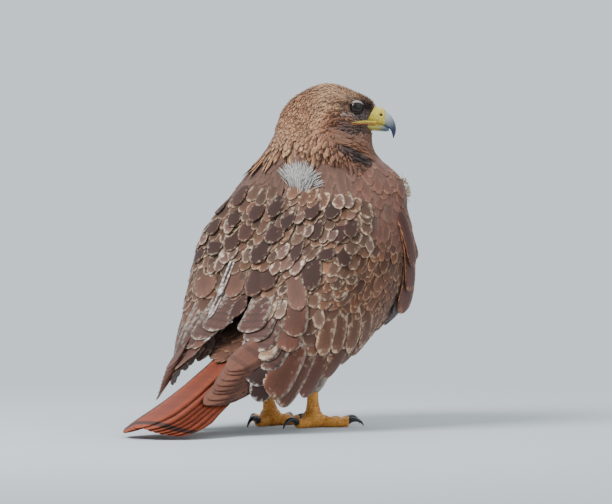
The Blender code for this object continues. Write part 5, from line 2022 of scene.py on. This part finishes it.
@dataclass
class Tufts:
    """Ruffled pale feathers: the white down patch on the back and the shoulder's tuft."""

    seed: int = 77
    down_count: int = 620
    tuft_count: int = 170

    def build(self, finish: bpy.types.Material) -> None:
        """Plant both on the right wing's upper face.

        Args:
            finish: the feather material.
        """
        rng = np.random.default_rng(self.seed)
        surface = sheet(WING, Side.RIGHT, -1)
        coat = Coat("coat_white_down")
        number, middle = self.down_count, 2.84
        a, b = rng.normal(1.66, 0.12, number), rng.normal(middle, 0.1, number)
        pa, pb = surface.slopes(a, b)
        way = unit(-pa) + unit(pb) * ((b - middle) * 6.0)[:, None] + rng.normal(0, 0.22, pa.shape)
        tone = colours(number, "#dfddd9", 0.1, 0.0, rng)
        fringe = colours(number, "#f2f0ec", 0.03, 0.2, rng)
        heights = pairs(1.0, rng.uniform(3.0, 7.0, number))
        lengths, widths = rng.uniform(8, 15, number), rng.uniform(0.7, 1.5, number)
        coat.plant(
            surface, DOWN_VANE, pairs(a, b), way, lengths, widths, heights, tone, fringe, rng, 0.5
        )
        coat.build(finish, "plumage", ())
        coat = Coat("coat_shoulder_tuft")
        number = self.tuft_count
        a, b = rng.normal(1.2, 0.11, number), rng.normal(0.5, 0.12, number)
        pa, pb = surface.slopes(a, b)
        way = -unit(pb) * 0.9 - unit(pa) * 0.3 + rng.normal(0, 0.35, pa.shape)
        tone = colours(number, "#d9c2a4", 0.4, 0.0, rng)
        fringe = colours(number, "#efe9dc", 0.05, 0.25, rng)
        heights = pairs(0.5, rng.uniform(4.5, 8.0, number))
        lengths = rng.uniform(6, 15, number)
        coat.plant(
            surface, DOWN_VANE, pairs(a, b), way, lengths, 2.4, heights, tone, fringe, rng, 0.5
        )
        coat.build(finish, "plumage", ())


# Rows of tail coverts: above or below, row at the root, reach along the tail, spread in mm.
TAIL_COVERTS = (
    (True, 0.0, 0.3, 20),
    (True, -0.04, 0.22, 22),
    (True, -0.08, 0.16, 23),
    (False, 0.0, 0.48, 19),
    (False, -0.02, 0.36, 22),
    (False, -0.05, 0.26, 24),
)


@dataclass
class Tail:
    """Twelve rufous tail feathers, and the coverts above and below their roots."""

    seed: int = 61
    step: float = 0.9

    def build(self, rufous: bpy.types.Material, covert: bpy.types.Material) -> None:
        """Fan the feathers out from the root, the middle pair on top.

        Args:
            rufous: finish of the tail feathers.
            covert: finish of the coverts.
        """
        rng = np.random.default_rng(self.seed)
        surface = tail_surface()
        order = np.arange(12)
        pair, sign = order // 2, np.where(order % 2, 1, -1)
        root_out, tip_out = 1.6 + 1.5 * pair, 5.5 + 5.1 * pair
        reach = 1 - 0.5 * pair**2 / TAIL_LENGTH
        roots = pairs(0.03, 1 + sign * root_out / TAIL_HALF)
        tips = pairs(reach, 1 + sign * tip_out / TAIL_HALF)
        stand = 5.6 - self.step * order
        tone = colours(12, "#9a4322", 0.06, 0.1, rng)
        fringe = colours(12, "#c07e58", 0.05, 0.04, rng)
        coat = Coat("tail_feathers")
        coat.lay(
            surface, FLIGHT_VANE, roots, tips, 36.0, pairs(stand, stand),
            -0.25 * sign, tone, fringe, rng,
        )
        coat.build(rufous, "rufous_tail", ("tail",))
        coat = Coat("tail_coverts")
        number = 13
        for above, row, reach, spread in TAIL_COVERTS:
            out = spread * np.linspace(-1, 1, number) + rng.normal(0, 1, number)
            roots = pairs(row, 1 + 0.8 * out / TAIL_HALF)
            reaches = reach * rng.uniform(0.9, 1.08, number) * (1 - 0.2 * (out / spread) ** 2)
            tips = pairs(reaches, 1 + out / TAIL_HALF)
            base = "#66402f" if above else "#d9c9b2"
            tone = colours(number, base, 0.12, 0.35 if above else 0.1, rng)
            fringe = colours(number, "#a8805f" if above else "#ece4d6", 0.08, 0.16, rng)
            lift = (7.0 - 12 * row, 8.4 - 16 * row) if above else (-8.5 + 20 * row, -10 + 40 * row)
            heights = np.tile(lift, (number, 1)) + rng.normal(0, 0.2, (number, 2))
            coat.lay(surface, COVERT_VANE, roots, tips, 19.0, heights, 0.4, tone, fringe, rng)
        coat.build(covert, "plumage", ())


@dataclass
class Bill:
    """Cere, hooked upper bill, lower bill, nostrils and the yellow line of the gape."""

    upper: tuple[tuple[float, ...], ...] = (
        (81.0, 319.0, 72.0, 303.0, 9.8),
        (88.4, 317.3, 88.0, 301.0, 8.0),
        (94.5, 313.0, 92.5, 299.0, 6.3),
        (99.3, 307.0, 95.5, 297.0, 4.8),
        (102.0, 300.5, 97.5, 294.5, 3.4),
        (102.3, 293.8, 98.8, 290.5, 2.1),
        (100.4, 287.6, 99.6, 286.8, 0.7),
    )
    lower: tuple[tuple[float, ...], ...] = (
        (72.0, 303.2, 74.5, 294.8, 10.3),
        (88.0, 301.4, 88.0, 294.0, 6.4),
        (92.5, 299.4, 92.5, 293.8, 4.6),
        (95.4, 297.4, 95.4, 294.3, 2.4),
    )

    def _rings(self, rows: tuple, places: np.ndarray, edge: int, swell: float = 0.0) -> np.ndarray:
        """Rings of the bill at places along its rows, squared off towards the cutting edge.

        Args:
            rows: ahead and up of the upper and the lower line, and half width, in millimetres.
            places: row numbers of the rings.
            edge: 1 if the cutting edge is above, -1 if it is below.
            swell: how far the rings stand out, in millimetres.

        Returns:
            The rings' points.
        """
        table = along(np.array(rows), places)
        turn = np.arange(64) * 2 * math.pi / 64
        rings = []
        for h0, z0, h1, z1, half in table:
            top, low = head_place(h0, 0, z0), head_place(h1, 0, z1)
            middle, reach = (top + low) / 2, (top - low) / 2
            wide = np.sin(turn) * (1 - 0.22 * np.maximum(-edge * np.cos(turn), 0) ** 2)
            square = np.sign(np.sin(turn)) * np.abs(np.sin(turn)) ** 0.5
            wide = np.where(np.cos(turn) * edge > 0, square, wide)
            scale = 1 + swell / max(half, 1)
            ring = middle + reach * np.cos(turn)[:, None] * scale
            rings.append(ring + BESIDE * (half * scale * wide)[:, None])
        return np.array(rings)

    def _piece(self, name: str, rings: np.ndarray) -> bpy.types.Object:
        """Close rings into a piece."""
        points, faces = closed(rings)
        return mesh_piece(name, (points + STANCE) * MM, faces[:, ::-1])

    def build(self, face: Surface) -> None:
        """Build and dress the pieces of the bill.

        Args:
            face: the body's outer face, which the lips follow.
        """
        base, tip = head_place(88, 0, 313), head_place(100, 0, 290)
        horn = HornFinish("bill_horn", "#bcc2bf", "#222c50", tuple(base), tuple(tip)).make()
        waxy = ScaledSkinFinish("waxy_cere", "#ecd95a", "#c4ae42", 2.6, 0.38).make()
        cere = self._piece("cere_skin", self._rings(self.upper, np.linspace(0, 1.5, 30), -1, 0.25))
        self._nostrils(cere)
        finish_piece(cere, waxy, ("cere",))
        hook = self._piece("bill_hook", self._rings(self.upper, np.linspace(1.3, 6, 40), -1))
        finish_piece(hook, horn, ("bill_upper",))
        under = self._piece("bill_under", self._rings(self.lower, np.linspace(0, 3, 24), 1))
        fore, aft = head_place(80, 0, 299), head_place(95, 0, 296)
        pale = HornFinish("lower_horn", "#c2b552", "#56657c", tuple(fore), tuple(aft)).make()
        finish_piece(under, pale, ("bill_lower",))
        self._gape(face, waxy)

    def _nostrils(self, cere: bpy.types.Object) -> None:
        """Sink a round nostril into each side of the cere.

        Args:
            cere: the cere's piece.
        """
        points = read_vectors(cere, "co") / MM - STANCE
        for sign in (1, -1):
            pit = bump(points, head_place(87.3, sign * 7.9, 310.8), 1.6)
            points -= BESIDE * (sign * 1.8 * pit)[:, None]
        cere.data.vertices.foreach_set("co", ((points + STANCE) * MM).astype(np.float32).ravel())
        # Each nostril holds a dark ball, painted shadow that stands for the depth of the hole.
        dark = NostrilFinish().make()
        for sign, label in ((1, "right"), (-1, "left")):
            centre = head_place(87.3, sign * 7.3, 310.8)
            shadow_plug = add_ball(f"nostril_{label}", centre, 1.1, (20, 12), (1.35, 1.35, 1.0))
            finish_piece(shadow_plug, dark, ())

    def _gape(self, face: Surface, waxy: bpy.types.Material) -> None:
        """Run the yellow lips, and the orange edge under them, back to the mouth's corners.

        Args:
            face: the body's outer face.
            waxy: finish of the yellow lip.
        """
        orange = ScaledSkinFinish("orange_lip", "#e08b4c", "#a85f34", 2.0, 0.45).make()
        route = np.array([(83.0, 303.6), (77.0, 303.8), (70.5, 303.9), (64.0, 303.5), (57.0, 302.6)])
        places = np.linspace(0, 4, 26)
        turn = np.arange(14) * 2 * math.pi / 14
        for sign, label in ((1, "right"), (-1, "left")):
            for name, drop, size, finish in (("gape", 0.0, 1.15, waxy), ("lip", 1.7, 0.75, orange)):
                line = []
                for h, z in along(route, places):
                    out = max(out_at(face, h, z - drop, sign) + 0.5, 9.3 + (83 - h) * 0.35)
                    line.append(head_place(h, sign * out, z - drop))
                thick = size * np.clip(np.minimum(1.0, (4.1 - places) / 1.6), 0.08, 1)
                rings = [
                    spot + (BESIDE * np.cos(turn)[:, None] + UP * np.sin(turn)[:, None]) * radius
                    for spot, radius in zip(line, thick)
                ]
                piece = self._piece(f"{name}_{label}", np.array(rings))
                finish_piece(piece, finish, ())


# Rings of a lid from its rim: share of its breadth, height off the ball in mm, and share of the pale painted
# highlight along the upper lid.
LID_RINGS = (
    (0.0, 0.05, 0.3),
    (0.02, 0.75, 1.0),
    (0.18, 1.05, 1.0),
    (0.45, 0.95, 0.6),
    (1.0, 0.2, 0.0),
    (1.0, -1.6, 0.0),
    (0.4, -1.2, 0.0),
)


@dataclass
class Eyes:
    """Both eyes, with a dark wet ball, and lids that stand round each."""

    def build(self) -> None:
        """Build each ball and its upper and lower lid."""
        lid_skin = SkinFinish("lid_skin").make()
        for side in Side:
            centre = head_place(EYE[0], EYE[1] * side.value, EYE[2])
            outward = unit(BESIDE * side.value + AHEAD * 0.22)
            finish = EyeFinish(f"wet_eye_{side.label}", tuple(centre), tuple(outward)).make()
            ball = add_ball(f"eyeball_{side.label}", centre, EYE_RADIUS, (64, 40))
            finish_piece(ball, finish, (f"eye_{side.label}",))
            self._lids(side, centre, outward, lid_skin)

    def _lids(self, side: Side, centre: np.ndarray, outward: np.ndarray, skin: bpy.types.Material) -> None:
        """Wrap lids of skin round the ball, the upper one lower and heavier, its top painted pale as a
        painted highlight.

        Args:
            side: the side of the head.
            centre: the ball's middle.
            outward: the way that the eye looks.
            skin: the lids' finish.
        """
        fore = unit(AHEAD - outward * (AHEAD @ outward))
        crown = np.cross(outward, fore) * side.value
        around = np.linspace(0, 2 * math.pi, 72, endpoint=False)
        rise = np.sin(around)
        opening = math.radians(57) - 0.37 * np.abs(rise) ** 1.4 - 0.03 * np.maximum(rise, 0)
        rings = []
        for share, height, _ in LID_RINGS:
            angle = opening + share * math.radians(33)
            ring = (
                np.cos(angle)[:, None] * outward
                + np.sin(angle)[:, None] * (np.cos(around)[:, None] * fore + np.sin(around)[:, None] * crown)
            )
            rings.append(centre + ring * (EYE_RADIUS + height))
        grid = np.array(rings)
        count, columns = grid.shape[:2]
        index = np.arange(count * columns).reshape(count, columns)
        after = np.roll(index, -1, 1)
        lower, upper = np.roll(index, -1, 0), np.roll(after, -1, 0)
        quads = np.stack([index, after, upper, lower], -1).reshape(-1, 4)
        faces = np.concatenate([quads[:, [0, 1, 2]], quads[:, [0, 2, 3]]])
        piece = mesh_piece(f"lids_{side.label}", (grid.reshape(-1, 3) + STANCE) * MM, faces)
        # The upper lid is painted pale towards its top: a painted highlight of the sunlit lid and brow.
        dark = np.array((*linear("#2e211d"), 0.0))
        light = np.array((*linear("#c9bdb6"), 0.0))
        ring_highlight = np.array([light for *_, light in LID_RINGS])[:, None]
        share = (ring_highlight * smooth(rise + 0.15 * np.cos(around), 0.35, 0.9)[None, :])[..., None]
        tone = dark * (1 - share) + light * share
        write_tone(piece, tone)
        face_outwards(piece)
        finish_piece(piece, skin, ())


@dataclass
class Foot:
    """One bare shank with its foot: scuted toes, padded soles and curved claws."""

    side: Side
    toes: tuple[tuple[str, float, float, float, float, float, float], ...] = (
        ("hallux", 172, 26, 6.2, 4.6, 27, 3.5),
        ("inner", -42, 31, 6.0, 4.5, 25, 3.4),
        ("middle", 0, 47, 5.8, 4.3, 22, 3.1),
        ("outer", 46, 36, 5.6, 4.2, 19, 2.9),
    )
    foot_at: tuple[float, float, float] = (26, -4, 9)
    claw_sweep: float = math.radians(105)
    scute: float = 3.4
    shank: tuple[tuple[float, ...], ...] = (
        (28, -8.2, 39.7, 6.4),
        (27.6, -7.4, 33, 5.8),
        (27, -6, 25, 5.9),
        (26.2, -4.5, 17, 7.4),
    )
    shank_scute: float = 4.2

    def _ring(
        self, point: np.ndarray, ahead: np.ndarray, radius: float, count: int = 28
    ) -> np.ndarray:
        """A round section across the way that a toe or claw points.

        Args:
            point: its middle.
            ahead: the way ahead.
            radius: its radius in millimetres.
            count: its number of points.

        Returns:
            The ring's points.
        """
        across = unit(np.cross(ahead, UP))
        up = np.cross(across, ahead)
        turn = np.arange(count) * 2 * math.pi / count
        return point + (across * np.cos(turn)[:, None] + up * np.sin(turn)[:, None]) * radius

    def _toe(self, turn: float, length: float, thick: float, thin: float, joints: int) -> tuple:
        """Rings of a toe with raised scutes above and pads below, and where its claw starts.

        Args:
            turn: heading in degrees.
            length: length in millimetres.
            thick: radius at the root.
            thin: radius at the end.
            joints: number of pads.

        Returns:
            The rings, the last ring's middle and the way ahead.
        """
        heading = math.radians(turn) + math.radians(12 if self.side is Side.RIGHT else 14)
        ahead = np.array((math.sin(heading), math.cos(heading), 0.0))
        rings = []
        shares = np.linspace(0, 1, int(length * 1.3))
        for share in shares:
            radius = thick + (thin - thick) * share
            radius *= 1 + 0.09 * math.cos(2 * math.pi * joints * share)
            instep = (self.foot_at[2] - thick) * 0.55 * (1 - share) ** 2
            height = radius * 0.86 + instep + 1.2 * share**4
            point = np.array((*self.foot_at[:2], height)) + ahead * length * share
            ring = self._ring(point, ahead, radius)
            over = np.maximum(unit(ring - point)[:, 2], 0)
            scute = abs((share * length / self.scute) % 1 - 0.5) * 2
            ring = ring + (ring - point) * (0.07 * (1 - scute**3) * over - 0.03)[:, None]
            if share == 1:
                ring = point + (ring - point) * 0.8
            rings.append(ring)
        return np.array(rings), point, ahead

    def build(self, skin: bpy.types.Material, horn: bpy.types.Material) -> None:
        """Build shank, foot and claws.

        Args:
            skin: the scaled skin.
            horn: the claws' finish.
        """
        parts = []
        for name, turn, length, thick, thin, claw, base in self.toes:
            rings, end, ahead = self._toe(turn, length, thick, thin, 3 if name == "middle" else 2)
            parts.append(rings)
            self._claw(name, end, ahead, (claw, base), horn)
        turn = np.arange(28) * 2 * math.pi / 28
        rings = []
        for x, y, z, radius in along(np.array(self.shank), np.linspace(-0.6, 3.35, 56)):
            face = np.maximum(np.sin(turn), 0)
            scute = abs((z / self.shank_scute) % 1 - 0.5) * 2
            swell = radius * (1 + 0.09 * (1 - scute**3) * face - 0.03)
            ring = (x + swell * np.cos(turn), y + swell * 1.05 * np.sin(turn), np.full(28, z))
            rings.append(np.stack(ring, -1))
        parts.append(np.array(rings))
        pad = [self._ring_level(level) for level in np.linspace(-0.98, 0.98, 14)]
        parts.append(np.array(pad))
        points, faces = joined([closed(rings) for rings in parts])
        points = points * np.array((self.side.value, 1, 1))
        piece = mesh_piece(f"foot_skin_{self.side.label}", (points + STANCE) * MM, faces)
        face_outwards(piece)
        fuse(piece, 0.7, 2)
        places = read_vectors(piece, "co")
        places[:, 2] = np.maximum(places[:, 2], 0.0)
        piece.data.vertices.foreach_set("co", places.ravel())
        nodes = (f"foot_{self.side.label}", f"tarsus_{self.side.label}")
        finish_piece(piece, skin, nodes)

    def _ring_level(self, level: float) -> np.ndarray:
        """A level ring of the pad that the toes spread from.

        Args:
            level: height from -1 to 1 of the pad's half height.

        Returns:
            The ring's points.
        """
        turn = np.arange(28) * 2 * math.pi / 28
        radius = 11 * math.sqrt(1 - level**2)
        ring = (radius * np.cos(turn), radius * np.sin(turn), np.full(28, 10.0 * level))
        return np.array(self.foot_at) + np.stack(ring, -1)

    def _claw(
        self,
        name: str,
        end: np.ndarray,
        ahead: np.ndarray,
        size: tuple[float, float],
        horn: bpy.types.Material,
    ) -> None:
        """Curve a claw forward and down from the end of its toe.

        Args:
            name: the toe's name.
            end: the toe's end.
            ahead: the way that the toe points.
            size: the claw's length along its curve and its radius at the root.
            horn: the claws' finish.
        """
        length, base = size
        start = end - ahead * 1.2 + np.array((0, 0, 0.4))
        arc = length / self.claw_sweep
        lift = math.radians(38)
        rings = []
        for share in np.linspace(0, 1, 26):
            turn = self.claw_sweep * share
            way = ahead * math.cos(lift - turn) + UP * math.sin(lift - turn)
            centre = (
                start
                + ahead * arc * (math.sin(lift) - math.sin(lift - turn))
                - UP * arc * (math.cos(lift) - math.cos(lift - turn))
            )
            radius = base * (1 - share) ** 0.72 + 0.16
            ring = self._ring(centre, way, radius, 20)
            ring[:, 2] = np.maximum(ring[:, 2], 0.35)
            rings.append(ring)
        points, faces = closed(np.array(rings))
        points = points * np.array((self.side.value, 1, 1))
        faces = faces if self.side is Side.RIGHT else faces[:, ::-1]
        piece = mesh_piece(f"talon_{self.side.label}_{name}", (points + STANCE) * MM, faces[:, ::-1])
        finish_piece(piece, horn, (f"claw_{self.side.label}_{name}",))


@dataclass
class Studio:
    """Pale floor, soft light, and the camera at the photograph's angle."""

    azimuth: float = math.radians(35)
    elevation: float = math.radians(2)
    distance: float = 6.0
    view_width: float = 0.612
    stance_px: tuple[float, float] = (294.0, 426.0)
    image_px: tuple[int, int] = (612, 504)
    ambient: float = 0.85
    backdrop: float = 1.25
    # Name, turn and height in degrees, width in metres and power in watts.
    lamps: tuple[tuple[str, float, float, float, float], ...] = (
        ("key", -22, 46, 1.1, 62),
        ("fill", 85, 25, 2.2, 12),
        ("rim", 190, 50, 1.6, 14),
    )

    def build(self) -> None:
        """Set up floor, world, lights and camera."""
        scene = bpy.context.scene
        bpy.ops.object.select_all(action="DESELECT")
        bpy.ops.mesh.primitive_circle_add(vertices=96, radius=3.0, fill_type="NGON")
        floor = bpy.context.active_object
        floor.name = "floor"
        floor.data.materials.append(self._floor_finish())
        world = bpy.data.worlds.new("studio_world")
        world.use_nodes = True
        tree = world.node_tree
        made = {"soft": tree.nodes["Background"]}
        set_node(tree, made["soft"], {0: rgba("#d3dce4"), 1: self.ambient}, made)
        rows = (
            ("seen", "Background", {0: rgba("#d5e0e8"), 1: self.backdrop}),
            ("path", "LightPath", {}),
            ("both", "MixShader", {0: "path", 1: "soft", 2: "seen"}),
        )
        add_nodes(tree, rows, made)
        set_node(tree, tree.nodes["World Output"], {0: "both"}, made)
        scene.world = world
        for name, turn, height, size, power in self.lamps:
            lamp = bpy.data.lights.new(name, "AREA")
            lamp.size = size
            lamp.energy = power
            item = bpy.data.objects.new(name, lamp)
            a, e = math.radians(turn), math.radians(height)
            way = Vector((math.sin(a) * math.cos(e), -math.cos(a) * math.cos(e), math.sin(e)))
            item.location = way * 2.2 + Vector((0, 0, 0.15))
            item.rotation_euler = way.to_track_quat("Z", "Y").to_euler()
            scene.collection.objects.link(item)
        self._camera()

    def _floor_finish(self) -> bpy.types.Material:
        """Matt pale card that fades into the background with distance.

        Returns:
            The material.
        """
        material = bpy.data.materials.new("pale_card")
        material.use_nodes = True
        tree = material.node_tree
        made = {"card": tree.nodes["Principled BSDF"]}
        set_node(tree, made["card"], {"Base Color": rgba("#cfd6da"), "Roughness": 0.9}, made)
        rows = (
            ("object", "TexCoord", {}),
            ("far", "VectorMath:LENGTH", {0: "object:3"}),
            ("share", "MapRange", SMOOTHLY | {0: "far:1", 1: 0.3, 2: 1.1}),
            ("clear", "BsdfTransparent", {}),
            ("faded", "MixShader", {0: "share", 1: "card", 2: "clear"}),
        )
        add_nodes(tree, rows, made)
        set_node(tree, tree.nodes["Material Output"], {0: "faded"}, made)
        return material

    def _camera(self) -> None:
        """Place the camera so that the stance falls on its pixel of the photograph."""
        right = Vector((math.cos(self.azimuth), math.sin(self.azimuth), 0))
        back = Vector(
            (
                math.sin(self.azimuth) * math.cos(self.elevation),
                -math.cos(self.azimuth) * math.cos(self.elevation),
                math.sin(self.elevation),
            )
        )
        up = back.cross(right)
        scale = self.view_width / self.image_px[0]
        target = Vector(STANCE * MM)
        target += right * (self.image_px[0] / 2 - self.stance_px[0]) * scale
        target -= up * (self.image_px[1] / 2 - self.stance_px[1]) * scale
        camera = bpy.data.objects.new("camera", bpy.data.cameras.new("camera"))
        pose = Matrix((right, up, back)).transposed().to_4x4()
        pose.translation = target + back * self.distance
        camera.matrix_world = pose
        camera.data.sensor_width = 36
        camera.data.lens = 36 * self.distance / self.view_width
        camera.data.clip_end = 50
        bpy.context.scene.collection.objects.link(camera)
        bpy.context.scene.camera = camera


def main() -> None:
    """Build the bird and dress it."""
    logging.basicConfig(level=logging.INFO, format="%(message)s")
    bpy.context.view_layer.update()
    covert = FeatherFinish("barbed_covert").make()
    flight = FeatherFinish("flight_feather", 0.62, bars=0.35, bar_count=7).make()
    rufous = FeatherFinish("rufous_tail_feather", 0.6, bars=0.12, bar_count=10, tip_band=0.905).make()
    barred = FeatherFinish("barred_white_covert", bars=0.8, bar_count=5, bar_colour="#6f5040").make()
    body = BodyCoat()
    body.skin()
    body.feathers(covert)
    body.ruff(covert)
    body.thighs(covert)
    for side in Side:
        Wing(side).build(covert, flight, barred)
    Tufts().build(covert)
    Tail().build(rufous, covert)
    Bill().build(body.surface)
    Eyes().build()
    skin = ScaledSkinFinish("scaled_leg_skin", "#ffb950", "#b86a26", 2.2).make()
    horn = HornFinish("talon_horn", "#2b2a2e", "#0b0a0c", (0, 0, 12), (0, 0, 0), 0.22).make()
    for side in Side:
        Foot(side).build(skin, horn)
    Studio().build()


if __name__ == "__main__":
    main()
